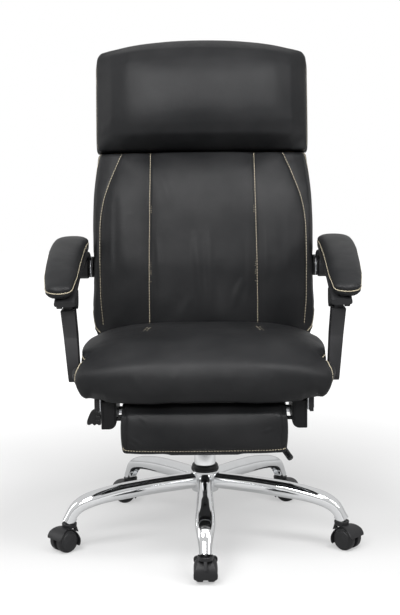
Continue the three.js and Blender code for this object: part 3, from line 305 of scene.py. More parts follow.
def plasticMaterial(name, color, roughness, speckle=420.0, depth=0.12):
    made, tree, shader = nodeMaterial(name)
    coords = addNode(tree, "ShaderNodeTexCoord")
    fine = noiseNode(tree, coords, speckle, 4.0, 0.6)
    broad = noiseNode(tree, coords, speckle / 22, 3.0)
    worn = tuple(channel * 1.35 + 0.002 for channel in color)
    tint = rampNode(tree, broad.outputs["Fac"], color, worn)
    wire(tree, tint, "Color", shader, "Base Color")
    setInputs(shader, {"Specular IOR Level": 0.3})
    gloss = rangeNode(tree, broad.outputs["Fac"], roughness - 0.05, roughness + 0.07)
    wire(tree, gloss, 0, shader, "Roughness")
    linkBump(tree, shader, fine.outputs["Fac"], depth, 0.0004)
    return made


def metalMaterial(name, color, roughness, metallic=1.0, brush=(700.0, 30.0, 30.0)):
    made, tree, shader = nodeMaterial(name)
    coords = addNode(tree, "ShaderNodeTexCoord")
    drawn = addNode(tree, "ShaderNodeVectorMath", {1: brush}, operation="MULTIPLY")
    wire(tree, coords, "Object", drawn, 0)
    grain = addNode(tree, "ShaderNodeTexNoise", {"Scale": 1.0, "Detail": 4.0})
    wire(tree, drawn, 0, grain, "Vector")
    tint = rampNode(tree, grain.outputs["Fac"], tuple(c * 0.8 for c in color), color)
    wire(tree, tint, "Color", shader, "Base Color")
    setInputs(shader, {"Metallic": metallic})
    gloss = rangeNode(tree, grain.outputs["Fac"], roughness - 0.06, roughness + 0.1)
    wire(tree, gloss, 0, shader, "Roughness")
    linkBump(tree, shader, grain.outputs["Fac"], 0.08, 0.0005)
    return made


def plywoodMaterial():
    made, tree, shader = nodeMaterial("birchPly")
    coords = addNode(tree, "ShaderNodeTexCoord")
    layers = addNode(tree, "ShaderNodeTexWave", {"Scale": plywoodFinish["layers"], "Distortion": 3.0},
                     wave_type="BANDS", bands_direction="Z")
    wire(tree, coords, "Object", layers, "Vector")
    color = rampNode(tree, layers.outputs["Fac"], plywoodFinish["dark"], plywoodFinish["light"])
    shape = addNode(tree, "ShaderNodeNewGeometry")  # the underside wears a thin black dust cloth
    parts = addNode(tree, "ShaderNodeSeparateXYZ")
    wire(tree, shape, "Normal", parts, 0)
    under = addNode(tree, "ShaderNodeMath", {1: -0.6}, operation="LESS_THAN")
    wire(tree, parts, "Z", under, 0)
    cloth = addNode(tree, "ShaderNodeMix", data_type="RGBA")
    wire(tree, under, 0, cloth, "Factor")
    wire(tree, color, "Color", cloth, "A")
    setInputs(cloth, {"B": plywoodFinish["cloth"]})
    wire(tree, cloth, "Result", shader, "Base Color")
    setInputs(shader, {"Roughness": 0.8})
    linkBump(tree, shader, layers.outputs["Fac"], 0.2, 0.0005)
    return made


leather = leatherMaterial()
thread = threadMaterial()
chrome = chromeMaterial()
satinPlastic = plasticMaterial("satinPlastic", (0.011, 0.011, 0.012), 0.42)
wheelPlastic = plasticMaterial("wheelPlastic", (0.013, 0.013, 0.014), 0.5, 300.0, 0.2)
paleNylon = plasticMaterial("paleNylon", (0.24, 0.24, 0.25), 0.4)
coatedSteel = metalMaterial("coatedSteel", (0.02, 0.02, 0.021), 0.42, 0.25, (240.0, 240.0, 240.0))
zincSteel = metalMaterial("zincSteel", (0.58, 0.59, 0.61), 0.28)
groundSteel = metalMaterial("groundSteel", (0.62, 0.63, 0.65), 0.18, 1.0, (40.0, 40.0, 900.0))
plywood = plywoodMaterial()
print("finishes ready")


# Shape tools
def nodeCentre(name):
    low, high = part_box(name)
    return (Vector(low) + Vector(high)) / 2


def nodeHalfWidth(name):
    low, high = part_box(name)
    return (high[0] - low[0]) / 2


columnY = nodeCentre("column_tube").y
sideNames = {-1: "Left", 1: "Right"}


# A point of the chair, with y measured from the column's axis.
def at(x, y, z):
    return Vector((x, y + columnY, z))


# A shape is a list of points with a list of faces, or a mesh in the making.
def looseObject(name, shape):
    made = shape if isinstance(shape, bmesh.types.BMesh) else toMesh(shape)
    mesh = bpy.data.meshes.new(name)
    made.to_mesh(mesh)
    made.free()
    piece = bpy.data.objects.new(name, mesh)
    bpy.context.scene.collection.objects.link(piece)
    return piece


def shapeOf(piece):
    return [vertex.co.copy() for vertex in piece.data.vertices], [tuple(face.vertices) for face in piece.data.polygons]


def smoothFaces(mesh):
    mesh.polygons.foreach_set("use_smooth", [True] * len(mesh.polygons))


def addPiece(name, shape, material, body, replaced, sharpDegrees=35):
    if isinstance(shape, bmesh.types.BMesh):
        bmesh.ops.recalc_face_normals(shape, faces=shape.faces)
    piece = looseObject(name, shape)
    smoothFaces(piece.data)
    piece.data.set_sharp_from_angle(angle=math.radians(sharpDegrees))
    piece.data.materials.append(material)
    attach(piece, body)
    if replaced:
        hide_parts(*replaced)
    return piece


# Rings of equal length joined into a closed skin: looped joins the last ring to the first, else both ends are capped.
def skin(rings, looped=False):
    count = len(rings[0])
    points = [point for ring in rings for point in ring]
    faces = []
    last = len(rings) if looped else len(rings) - 1
    for row in range(last):
        here, there = row * count, ((row + 1) % len(rings)) * count
        for i in range(count):
            j = (i + 1) % count
            faces.append((here + i, here + j, there + j, there + i))
    if not looped:
        faces.append(tuple(range(count - 1, -1, -1)))
        faces.append(tuple(range((len(rings) - 1) * count, len(rings) * count)))
    return points, faces


def mixed(*shapes):
    points, faces = [], []
    for shapePoints, shapeFaces in shapes:
        start = len(points)
        points += [Vector(point) for point in shapePoints]
        faces += [tuple(start + i for i in face) for face in shapeFaces]
    return points, faces


def moved(shape, matrix):
    return [matrix @ Vector(point) for point in shape[0]], shape[1]


def toMesh(shape):
    plain = bpy.data.meshes.new("shape")
    plain.from_pydata([tuple(point) for point in shape[0]], [], shape[1])
    plain.validate()
    made = bmesh.new()
    made.from_mesh(plain)
    bpy.data.meshes.remove(plain)
    bmesh.ops.recalc_face_normals(made, faces=made.faces)
    return made


def fromMesh(made):
    shape = ([vertex.co.copy() for vertex in made.verts], [tuple(v.index for v in face.verts) for face in made.faces])
    made.free()
    return shape


# A solid from one piece of sheet: its outline in the plane of two axes, and its span along the third.
def plate(outline, axis, low, high, bevel=0.0, segments=3):
    order = {"x": (1, 2, 0), "y": (0, 2, 1), "z": (0, 1, 2)}[axis]

    def corner(pair, along):
        point = [0.0, 0.0, 0.0]
        point[order[0]], point[order[1]], point[order[2]] = pair[0], pair[1], along
        return Vector(point)

    made = toMesh(skin([[corner(pair, low) for pair in outline], [corner(pair, high) for pair in outline]]))
    if bevel:
        rims = [edge for edge in made.edges if edge.calc_face_angle(0) > math.radians(35)
                or any(len(face.verts) != 4 for face in edge.link_faces)]
        bmesh.ops.bevel(made, geom=rims, offset=bevel, segments=segments, profile=0.7, affect="EDGES",
                        clamp_overlap=True)
    return made


def softBox(low, high, bevel, segments=3):
    outline = [(low[0], low[1]), (high[0], low[1]), (high[0], high[1]), (low[0], high[1])]
    return plate(outline, "z", low[2], high[2], bevel, segments)


def arc(middle, radius, fromDegrees, toDegrees, steps):
    return [(middle[0] + radius * math.cos(math.radians(fromDegrees + (toDegrees - fromDegrees) * i / steps)),
             middle[1] + radius * math.sin(math.radians(fromDegrees + (toDegrees - fromDegrees) * i / steps)))
            for i in range(steps + 1)]


# A turned form: radius and height pairs about a line through start along axis.
def turned(profile, start, axis=(0, 0, 1), sides=48):
    direction = Vector(axis).normalized()
    across = direction.orthogonal().normalized()
    other = direction.cross(across)
    rings = []
    for radius, height in profile:
        middle = Vector(start) + direction * height
        turns = [2 * math.pi * i / sides for i in range(sides)]
        size = max(radius, 1e-5)
        rings.append([middle + (across * math.cos(turn) + other * math.sin(turn)) * size for turn in turns])
    return rings


def turnedSolid(profile, start, axis=(0, 0, 1), sides=48):
    return skin(turned(profile, start, axis, sides))


def turnedRing(profile, start, axis=(0, 0, 1), sides=48):
    return skin(turned(profile, start, axis, sides), looped=True)


# A smooth line through points, evenly spaced.
def smoothLine(points, count):
    points = [Vector(point) for point in points]
    padded = [points[0] * 2 - points[1], *points, points[-1] * 2 - points[-2]]
    dense = []
    for i in range(1, len(padded) - 2):
        a, b, c, d = padded[i - 1:i + 3]
        for step in range(24):
            t = step / 24
            dense.append(0.5 * ((2 * b) + (c - a) * t + (2 * a - 5 * b + 4 * c - d) * t * t
                                + (3 * b - 3 * c + d - a) * t ** 3))
    dense.append(padded[-2])
    gaps = [0.0]
    for first, second in zip(dense, dense[1:]):
        gaps.append(gaps[-1] + (second - first).length)
    places = []
    index = 0
    total = gaps[-1]
    for step in range(count):
        goal = total * step / (count - 1)
        while index < len(gaps) - 2 and gaps[index + 1] < goal:
            index += 1
        span = gaps[index + 1] - gaps[index] or 1.0
        places.append(dense[index].lerp(dense[index + 1], min(1.0, max(0.0, (goal - gaps[index]) / span))))
    return places


def between(stops, share):
    place = min(max(share, 0.0), 1.0) * (len(stops) - 1)
    index = min(int(place), len(stops) - 2)
    part = place - index
    eased = part * part * (3 - 2 * part)
    return stops[index] + (stops[index + 1] - stops[index]) * eased


# A bar along a line that stays in the plane square to side. Sections are full ovals: fullness under 1 squares them.
def bentBar(line, side, width, height, lift=lambda share: 0.0, fullness=1.0, sides=24):
    side = Vector(side).normalized()
    rings = []
    count = len(line)
    for i, point in enumerate(line):
        share = i / (count - 1)
        heading = (line[min(i + 1, count - 1)] - line[max(i - 1, 0)]).normalized()
        up = heading.cross(side).normalized()
        ring = []
        for k in range(sides):
            angle = 2 * math.pi * k / sides
            c, s = math.cos(angle), math.sin(angle)
            across = math.copysign(abs(c) ** fullness, c) * width(share) / 2
            rise = math.copysign(abs(s) ** fullness, s) * height(share) / 2 + lift(share)
            ring.append(point + side * across + up * rise)
        rings.append(ring)
    return skin(rings)


def rod(points, radius, sides=16):
    rings = []
    side = None
    for i, point in enumerate(points):
        heading = (points[min(i + 1, len(points) - 1)] - points[max(i - 1, 0)]).normalized()
        if side is None:
            side = heading.orthogonal().normalized()
        else:
            side = (side - heading * side.dot(heading)).normalized()
        other = heading.cross(side)
        size = radius(i / (len(points) - 1)) if callable(radius) else radius
        turns = [2 * math.pi * k / sides for k in range(sides)]
        rings.append([point + (side * math.cos(turn) + other * math.sin(turn)) * size for turn in turns])
    return skin(rings)


# Cuts tools out of a piece, and leaves no modifier on it.
def carve(piece, *tools):
    for tool in tools:
        cutter = looseObject("cutter", tool)
        step = piece.modifiers.new("carve", "BOOLEAN")
        step.operation = "DIFFERENCE"
        step.solver = "EXACT"
        step.object = cutter
        applyStep(piece)
        bpy.data.objects.remove(cutter)
    piece.data.set_sharp_from_angle(angle=math.radians(35))


def applyStep(piece):
    bpy.context.view_layer.update()
    graph = bpy.context.evaluated_depsgraph_get()
    made = bpy.data.meshes.new_from_object(piece.evaluated_get(graph), preserve_all_data_layers=True, depsgraph=graph)
    old = piece.data
    piece.modifiers.clear()
    piece.data = made
    bpy.data.meshes.remove(old)


# Five-star base: pressed legs, hub, collar and column
starBase = {
    "legs": 5, "firstDegrees": -90.0, "wall": 0.003,
    "path": [(0.018, 0.131), (0.136, 0.1257), (0.24, 0.115), (0.294, 0.0973), (0.32, 0.062)],
    "widths": [0.034, 0.034, 0.037, 0.042, 0.026],
    "depths": [0.036, 0.036, 0.036, 0.0315, 0.027],
    "hubRadius": 0.031, "hubLow": 0.105, "hubHigh": 0.153, "footHeight": 0.062, "stemReach": 0.317,
    "stemRadius": 0.0058, "socketRadius": 0.0086,
    "hollowFrom": 0.7, "hollowDepths": [0.022, 0.024, 0.036, 0.046], "hollowLifts": [0.001, 0.0, -0.006, -0.012],
}


def legLine(steps=42):
    return smoothLine([Vector((reach, 0, height)) for reach, height in starBase["path"]], steps)


def makeLeg():
    line = legLine()
    width = lambda share: between(starBase["widths"], share)
    depth = lambda share: between(starBase["depths"], share)
    made = looseObject("leg", bentBar(line, (0, 1, 0), width, depth, fullness=0.8, sides=32))
    wall, foot = starBase["wall"], starBase["footHeight"]
    reach = starBase["path"][-1][0]
    inner = [point for point in line if starBase["path"][2][0] * starBase["hollowFrom"] < point.x < reach - 2 * wall]
    hollow = bentBar(inner, (0, 1, 0), lambda share: 0.03 - 2 * wall * share,
                     lambda share: between(starBase["hollowDepths"], share),
                     lift=lambda share: between(starBase["hollowLifts"], share), fullness=0.7, sides=20)
    below = softBox((0, -0.05, -0.01), (0.4, 0.05, foot), 0)
    carve(made, hollow, below)
    shape = shapeOf(made)
    bpy.data.objects.remove(made)
    bore, outer = starBase["stemRadius"], starBase["socketRadius"]
    socket = turnedRing([(bore, foot + 0.0004), (outer * 0.85, foot), (outer * 0.92, foot + 0.0008),
                         (outer, foot + 0.014), (bore, foot + 0.014)], (starBase["stemReach"], 0, 0), sides=28)
    return mixed(shape, socket)


def makeBase():
    leg = makeLeg()
    hub, low, high = starBase["hubRadius"], starBase["hubLow"], starBase["hubHigh"]
    bore = nodeHalfWidth("column_tube") + 0.0004
    profile = [(bore, low + 0.0002), (hub - 0.004, low), (hub - 0.0015, low + 0.001), (hub, low + 0.004),
               (hub, high - 0.004), (hub - 0.001, high - 0.0012), (hub - 0.0035, high), (bore, high - 0.0002)]
    bead = 0.0012
    profile[4:4] = [(hub, high - 0.0085), (hub - bead, high - 0.0078),
                    (hub - bead, high - 0.0072), (hub, high - 0.0065)]
    shapes = [turnedRing(profile, at(0, 0, 0), sides=64)]
    for index in range(starBase["legs"]):
        turn = math.radians(starBase["firstDegrees"] + index * 360 / starBase["legs"])
        shapes.append(moved(leg, Matrix.Translation(at(0, 0, 0)) @ Matrix.Rotation(turn, 4, "Z")))
    addPiece("starBase", mixed(*shapes), chrome, "base", ["star_base"], 32)

    collarLow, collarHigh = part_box("hub_collar")[0][2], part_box("hub_collar")[1][2]
    outer = nodeHalfWidth("hub_collar")
    rim = [(bore, collarLow), (outer - 0.0006, collarLow), (outer, collarLow + 0.0008), (outer, collarLow + 0.005),
           (outer - 0.0014, collarLow + 0.0058), (outer - 0.0018, collarHigh - 0.003),
           (outer - 0.0035, collarHigh - 0.0006), (outer - 0.005, collarHigh), (bore, collarHigh)]
    addPiece("hubCollar", turnedRing(rim, at(0, 0, 0), sides=64), satinPlastic, "base", ["hub_collar"],
             40)

    tubeLow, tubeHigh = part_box("column_tube")[0][2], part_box("column_tube")[1][2]
    radius = bore - 0.0004
    inner = radius - 0.002
    tube = [(0.0053, tubeLow), (radius - 0.001, tubeLow), (radius, tubeLow + 0.001), (radius, tubeHigh - 0.0012),
            (radius - 0.0006, tubeHigh), (inner, tubeHigh), (inner, tubeLow + 0.006), (0.0053, tubeLow + 0.006)]
    addPiece("columnTube", turnedRing(tube, at(0, 0, 0), sides=64), chrome, "base", ["column_tube"], 40)


makeBase()
print("star base ready")

# Twin-wheel casters, built about their stems with the wheels trailing along x
caster = {
    "radius": 0.025, "wheelWidth": 0.02, "web": 0.008, "trail": 0.016, "gap": 0.001, "clearance": 0.0014,
    "shell": 0.0026, "top": 0.061, "neck": 0.0165, "neckLip": 0.0018, "bossDepth": 0.013, "stemBore": 0.0059,
    "hoodDegrees": (14, 208), "pinch": 0.0095, "shoulder": 0.0022,
}


def wheelProfile():
    r, w = caster["radius"], caster["wheelWidth"]
    return [(0.0032, 0.0), (r * 0.9, 0.0), (r - 0.0008, 0.0004), (r, 0.0016), (r, w * 0.5), (r - 0.0006, w * 0.62),
            (r - 0.002, w * 0.73), (r - 0.0032, w * 0.76), (r - 0.0038, w * 0.745), (r - 0.0046, w * 0.755),
            (r * 0.74, w * 0.87), (r * 0.55, w * 0.945), (r * 0.38, w * 0.98), (r * 0.36, w * 0.97),
            (r * 0.34, w * 0.985), (r * 0.18, w * 0.997), (0.0, w), (0.0, w * 0.5), (0.0032, w * 0.5)]


def hoodRing(angle, halfWidth, inner, outer, shoulder):
    middle = (caster["trail"], caster["radius"])
    section = []
    rounding = 7
    for k in range(rounding + 1):
        turn = math.pi / 2 * k / rounding
        section.append((halfWidth - shoulder + shoulder * math.sin(turn), outer - shoulder + shoulder * math.cos(turn)))
    right = section + [(halfWidth, inner + 0.0002), (halfWidth - 0.0022, inner)]
    left = [(-y, r) for y, r in reversed(right)]
    return [Vector((middle[0] + r * math.cos(angle), y, middle[1] + r * math.sin(angle))) for y, r in right + left]


def hoodShape():
    inner = caster["radius"] + caster["clearance"]
    outer = inner + caster["shell"]
    half = caster["web"] / 2 + caster["gap"] + caster["wheelWidth"]
    first, last = caster["hoodDegrees"]
    rings = []
    steps = 30
    for i in range(steps + 1):
        share = i / steps
        angle = math.radians(first + (last - first) * share)
        pinch = caster["pinch"] * max(0.0, math.cos((share - 0.5) * math.pi * 1.35)) ** 1.5
        lip = 0.002 * (share < 0.03 or share > 0.97)
        rings.append(hoodRing(angle, half - pinch - lip, inner, outer, caster["shoulder"]))
    fender = skin(rings)
    web = plate(arc((caster["trail"], caster["radius"]), inner + 0.0008, first, last, 28), "y",
                -caster["web"] / 2, caster["web"] / 2, 0.0008, 2)
    neck, top, lip, bore, depth = (caster[key] for key in ("neck", "top", "neckLip", "stemBore", "bossDepth"))
    boss = turnedRing([(bore, top - depth + 0.003), (neck - 0.0035, top - depth + 0.003),
                       (neck - 0.0008, top - depth + 0.005), (neck, top - 0.003), (neck, top - 0.0006),
                       (neck - 0.0006, top), (neck - lip, top), (neck - lip - 0.0004, top - 0.0012),
                       (0.0085, top - 0.0012), (0.0085, top - 0.0004), (bore, top - 0.0004)], (0, 0, 0), sides=40)
    rib = plate([(-0.0225, 0.036), (-0.0165, 0.0535), (-0.0125, 0.0545), (-0.0125, 0.04)], "y",
                -0.0035, 0.0035, 0.001, 2)
    return fender, web, boss, rib


def makeCasters():
    fender, web, boss, rib = hoodShape()
    hood = mixed(fender, fromMesh(web), boss, fromMesh(rib))
    joints = {joint["name"]: joint for joint in frame["joints"]}
    offset = caster["web"] / 2 + caster["gap"]
    for number in range(1, starBase["legs"] + 1):
        stem = Vector(joints[f"caster_{number}_swivel"]["pos_m"])
        axle = Vector(joints[f"wheel_{number}_left_roll"]["axis"])
        turn = math.atan2(-axle.x, axle.y)
        place = Matrix.Translation((stem.x, stem.y, 0)) @ Matrix.Rotation(turn, 4, "Z")
        addPiece(f"casterHood{number}", moved(hood, place), satinPlastic, f"caster_{number}",
                 [f"caster_{number}_hood"], 42)
        for sideName, side in (("left", 1), ("right", -1)):
            start = (caster["trail"], side * offset, caster["radius"])
            wheel = turnedRing(wheelProfile(), start, (0, side, 0), 56)
            addPiece(f"casterWheel{number}{sideName.title()}", moved(wheel, place), wheelPlastic,
                     f"wheel_{number}_{sideName}", [f"caster_{number}_wheel_{sideName}"], 30)


makeCasters()
print("casters ready")

# Padding: a node's solid is remeshed, rounded and blown up like stuffed leather, with its hidden faces held still.
padding = {
    "voxel": 0.0055, "pressure": 4.0, "frames": 14, "quality": 4, "mass": 0.3, "shrink": 0.001,
    "push": 0.45,  # share of the cap that the even stuffing fills
    "swell": 0.5, "creases": 0.3,  # shares of the simulated swell and of its creases
    "creaseLimit": 0.003, "broadTurns": 40, "fineTurns": 3, "flatSmoothing": 70, "ridgeSmoothing": 40,
}


def coordsOf(mesh):
    places = np.empty(len(mesh.vertices) * 3)
    mesh.vertices.foreach_get("co", places)
    return places.reshape(-1, 3)


def setCoords(mesh, places):
    mesh.vertices.foreach_set("co", places.ravel())
    mesh.update()


def normalsOf(piece):
    return np.array([vertex.normal[:] for vertex in piece.data.vertices])


# Values between 0 and 1 as a vertex group; what is below the floor is left out.
def weigh(piece, name, weights, floor=0.02):
    group = piece.vertex_groups.new(name=name)
    for index in np.nonzero(weights > floor)[0]:
        group.add([int(index)], float(weights[index]), "REPLACE")


def stepOn(piece, kind, **settings):
    step = piece.modifiers.new("step", kind)
    for name, setting in settings.items():
        setattr(step, name, setting)
    applyStep(piece)


def simulate(piece, held):
    weigh(piece, "held", held)
    cloth = piece.modifiers.new("stuffing", "CLOTH")
    rules = cloth.settings
    rules.quality = padding["quality"]
    rules.mass = padding["mass"]
    rules.use_pressure = True
    rules.uniform_pressure_force = padding["pressure"]
    rules.effector_weights.gravity = 0
    rules.vertex_group_mass = "held"
    cloth.collision_settings.use_collision = False
    cloth.collision_settings.use_self_collision = False
    cloth.point_cache.frame_start = 1
    cloth.point_cache.frame_end = padding["frames"]
    scene = bpy.context.scene
    for number in range(1, padding["frames"] + 1):
        scene.frame_set(number)
    graph = bpy.context.evaluated_depsgraph_get()
    blown = coordsOf(piece.evaluated_get(graph).data)
    piece.modifiers.clear()
    piece.vertex_groups.clear()
    scene.frame_set(1)
    return blown


# Values at the vertices, averaged along the edges a number of times.
def evened(piece, values, times):
    ends = np.empty(len(piece.data.edges) * 2, dtype=np.int32)
    piece.data.edges.foreach_get("vertices", ends)
    first, second = ends[0::2], ends[1::2]
    count = np.bincount(ends, minlength=len(values))
    for turn in range(times):
        total = np.bincount(first, values[second], len(values)) + np.bincount(second, values[first], len(values))
        values = (values + total) / (count + 1)
    return values


def smoothWhere(piece, weight, times):
    weigh(piece, "broad", weight)
    stepOn(piece, "SMOOTH", factor=0.5, iterations=times, vertex_group="broad")
    piece.vertex_groups.clear()


# hold(place) tells for each vertex how far it is held, 0 to 1; cap is how far the stuffing may push.
def softForm(node, toLocal, hold, cap, rounding, ridge=None):
    source = frame["nodes"][node]
    mesh = source.data.copy()
    mesh.transform(toLocal @ source.matrix_world)
    mesh.materials.clear()
    piece = bpy.data.objects.new("soft", mesh)
    bpy.context.scene.collection.objects.link(piece)
    stepOn(piece, "REMESH", mode="VOXEL", voxel_size=padding["voxel"])
    before = coordsOf(piece.data)
    held = np.clip(hold(before), 0, 1)
    stepOn(piece, "SMOOTH", factor=0.5, iterations=rounding)
    rounded = coordsOf(piece.data)
    rounded += (before - rounded) * held[:, None]
    setCoords(piece.data, rounded)
    normals = normalsOf(piece)
    flat = ramp(np.abs(normals).max(axis=1), 0.8, 0.97)
    smoothWhere(piece, flat * (1 - held), padding["flatSmoothing"])
    if ridge is not None:
        smoothWhere(piece, ridge(before) * (1 - held), padding["ridgeSmoothing"])
    rounded = coordsOf(piece.data)
    normals = normalsOf(piece)
    start = rounded - normals * (padding["shrink"] * (1 - held))[:, None]
    setCoords(piece.data, start)
    blown = ((simulate(piece, held) - start) * normals).sum(axis=1)
    print("   ", node, "stuffing pushed out by", round(float(np.median(blown)) * 1000, 1), "mm")
    blown = np.clip(blown, -cap, cap)
    broad = evened(piece, blown, padding["broadTurns"])
    limit = padding["creaseLimit"]
    fine = np.clip(evened(piece, blown, padding["fineTurns"]) - broad, -limit, limit)
    swell, even = padding["swell"], cap * padding["push"]
    shift = normals * (even * (1 - swell) + broad * swell + fine * padding["creases"])[:, None]
    setCoords(piece.data, start + shift * (1 - held)[:, None])
    return piece


def ramp(values, low, high):
    share = np.clip((values - low) / (high - low), 0, 1)
    return share * share * (3 - 2 * share)


def dense(piece, smoothing=3):
    stepOn(piece, "SMOOTH", factor=0.5, iterations=smoothing)
    stepOn(piece, "SUBSURF", levels=1, render_levels=1)


def treeOf(piece):
    return BVHTree.FromPolygons(*shapeOf(piece))


# A line laid on a piece: places are looked for from outside it, along a direction, and lifted off by a small height.
def laid(tree, places, direction, lift=0.0, reach=0.25):
    direction = Vector(direction).normalized()
    points, normals = [], []
    for place in places:
        found, normal = tree.ray_cast(Vector(place) - direction * reach, direction, reach * 2)[:2]
        if found is None:
            found, normal = tree.find_nearest(Vector(place))[:2]
        if normal.dot(direction) > 0:
            normal = -normal
        points.append(found + normal * lift)
        normals.append(normal)
    return points, normals


# Draws a piece's surface in along lines: each pull has its points, depth and width.
def drawIn(piece, pulls):
    places = coordsOf(piece.data)
    normals = normalsOf(piece)
    depth = np.zeros(len(places))
    for points, amount, width in pulls:
        line = np.array([point[:] for point in points])
        low, high = line.min(axis=0) - width * 2.5, line.max(axis=0) + width * 2.5
        near = np.nonzero(np.all((places > low) & (places < high), axis=1))[0]
        if not len(near):
            continue
        least = np.full(len(near), 9.0)
        for begin, finish in zip(line, line[1:]):
            along = finish - begin
            share = np.clip(((places[near] - begin) @ along) / max(along @ along, 1e-12), 0, 1)
            least = np.minimum(least, np.linalg.norm(places[near] - begin - share[:, None] * along, axis=1))
        depth[near] += amount * np.exp(-(least / width) ** 2)
    setCoords(piece.data, places - normals * depth[:, None])


# Soft folds: each fold is a line with a height that fades to both ends, with a hollow on each side of it.
def foldOn(piece, folds):
    places = coordsOf(piece.data)
    normals = normalsOf(piece)
    rise = np.zeros(len(places))
    for points, amount, width in folds:
        line = np.array([point[:] for point in points])
        best, share = np.full(len(places), 9.0), np.zeros(len(places))
        for index, point in enumerate(line):
            gap = np.linalg.norm(places - point, axis=1)
            closer = gap < best
            best = np.where(closer, gap, best)
            share = np.where(closer, index / (len(line) - 1), share)
        ratio = best / width
        fade = np.sin(np.pi * np.clip(share, 0.02, 0.98)) ** 0.8
        rise += amount * fade * (1 - ratio ** 2) * np.exp(-ratio ** 2)
    setCoords(piece.data, places + normals * rise[:, None])


# Stitches along a laid line: each is a small thread that dips into the leather at both ends.
def stitches(points, normals, length=0.0052, gap=0.0022, radius=0.0007, aside=0.0, across=False):
    shapes = []
    line = [Vector(point) for point in points]
    gaps = [0.0]
    for first, second in zip(line, line[1:]):
        gaps.append(gaps[-1] + (second - first).length)
    place, index = gap / 2, 0
    step = (length + gap) if not across else gap + radius * 2
    while place + (length if not across else 0) < gaps[-1]:
        ends = []
        for goal in ((place, place + length) if not across else (place, place + 0.001)):
            while index < len(gaps) - 2 and gaps[index + 1] < goal:
                index += 1
            part = (goal - gaps[index]) / max(gaps[index + 1] - gaps[index], 1e-9)
            ends.append(line[index].lerp(line[index + 1], min(max(part, 0), 1)))
        up = normals[index]
        run = (ends[1] - ends[0]).normalized()
        side = run.cross(up).normalized()
        if across:
            start, stop = ends[0] + side * aside, ends[0] + side * (aside + math.copysign(length, aside or 1))
        else:
            start, stop = ends[0] + side * aside, ends[1] + side * aside
        middle = (start + stop) / 2
        low, high = -radius * 0.9, radius * 0.55
        track = [start + up * low, start.lerp(middle, 0.45) + up * high * 0.8, middle + up * high,
                 stop.lerp(middle, 0.45) + up * high * 0.8, stop + up * low]
        shapes.append(rod(track, lambda share: radius * (0.55 + 0.45 * math.sin(math.pi * share)), sides=6))
        place += step
        index = max(0, index - 3)
    return mixed(*shapes)


def finishSoft(piece, name, toWorld, body, nodes):
    piece.data.transform(toWorld)
    smoothFaces(piece.data)
    piece.name = name
    piece.data.name = name
    piece.data.materials.append(leather)
    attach(piece, body)
    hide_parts(*nodes)


def addThread(name, shapes, toWorld, body):
    addPiece(name, moved(mixed(*shapes), toWorld), thread, body, (), 60)


# The back and the footrest pad are shaped upright and then leaned into place
cushions = {"backFoot": (0, 0.2, 0.432), "backDegrees": -10, "padMiddle": (0, -0.19, 0.318), "padDegrees": -4}
stay = Matrix.Identity(4)
backPlace = (Matrix.Translation(at(*cushions["backFoot"]))
             @ Matrix.Rotation(math.radians(cushions["backDegrees"]), 4, "X"))
padPlace = (Matrix.Translation(at(*cushions["padMiddle"]))
            @ Matrix.Rotation(math.radians(cushions["padDegrees"]), 4, "X"))


# What is held: the faces on the boards, and the room that the rails, brackets, plates and pivots need
def seatHold(places):
    x, y, z = np.abs(places[:, 0]), places[:, 1] - columnY, places[:, 2]
    under = 1 - ramp(z, 0.371, 0.392)
    inside = (1 - ramp(z, 0.386, 0.396)) * (1 - ramp(x, 0.236, 0.244)) * ramp(y, -0.245, -0.225)
    bracket = (1 - ramp(np.hypot(y + 0.155, np.maximum(z - 0.404, 0)), 0.02, 0.034)) * ramp(x, 0.244, 0.25)
    overRails = (1 - ramp(z, 0.371, 0.384)) * ramp(x, 0.2, 0.21) * (1 - ramp(x, 0.232, 0.24))
    return np.maximum.reduce([under * ramp(y, -0.26, -0.22), inside, bracket, overRails])


def backHold(places):
    x, y, z = np.abs(places[:, 0]), places[:, 1], places[:, 2]
    behind = ramp(y, -0.012, 0.0)
    plates = ramp(x, 0.196, 0.2) * (1 - ramp(x, 0.242, 0.248)) * ramp(y, -0.03, -0.02) * (1 - ramp(z, 0.19, 0.2))
    disc = (1 - ramp(np.hypot(y + 0.02, z - 0.161), 0.026, 0.034)) * ramp(x, 0.25, 0.256)
    corner = (1 - ramp(z, 0.03, 0.042)) * ramp(x, 0.216, 0.224) * ramp(y, -0.032, -0.025)
    return np.maximum.reduce([behind, plates, disc, corner])


def headrestHold(places):
    return ramp(places[:, 1], -0.006, 0.004)


def panelHold(places):
    return 1 - ramp(places[:, 1], 0.019, 0.024)


def padHold(places):
    return ramp(places[:, 1], 0.004, 0.012)


# The rim of the seat's nose, rounded more than the rest
def noseRidge(places):
    x, y, z = np.abs(places[:, 0]), places[:, 1] - columnY, places[:, 2]
    return ramp(z, 0.385, 0.41) * (1 - ramp(y, 0.08, 0.11)) * (1 - ramp(x, 0.235, 0.262) * 0.7)


seatCushion = softForm("seat_cushion", stay, seatHold, 0.011, 12, ridge=noseRidge)
backCushion = softForm("back_cushion", backPlace.inverted(), backHold, 0.009, 14)
headrest = softForm("headrest_cushion", backPlace.inverted(), headrestHold, 0.012, 5)
rearPanel = softForm("back_rear_panel", backPlace.inverted(), panelHold, 0.004, 8)
footPad = softForm("footrest_cushion", padPlace.inverted(), padHold, 0.005, 6)
print("cushions stuffed")


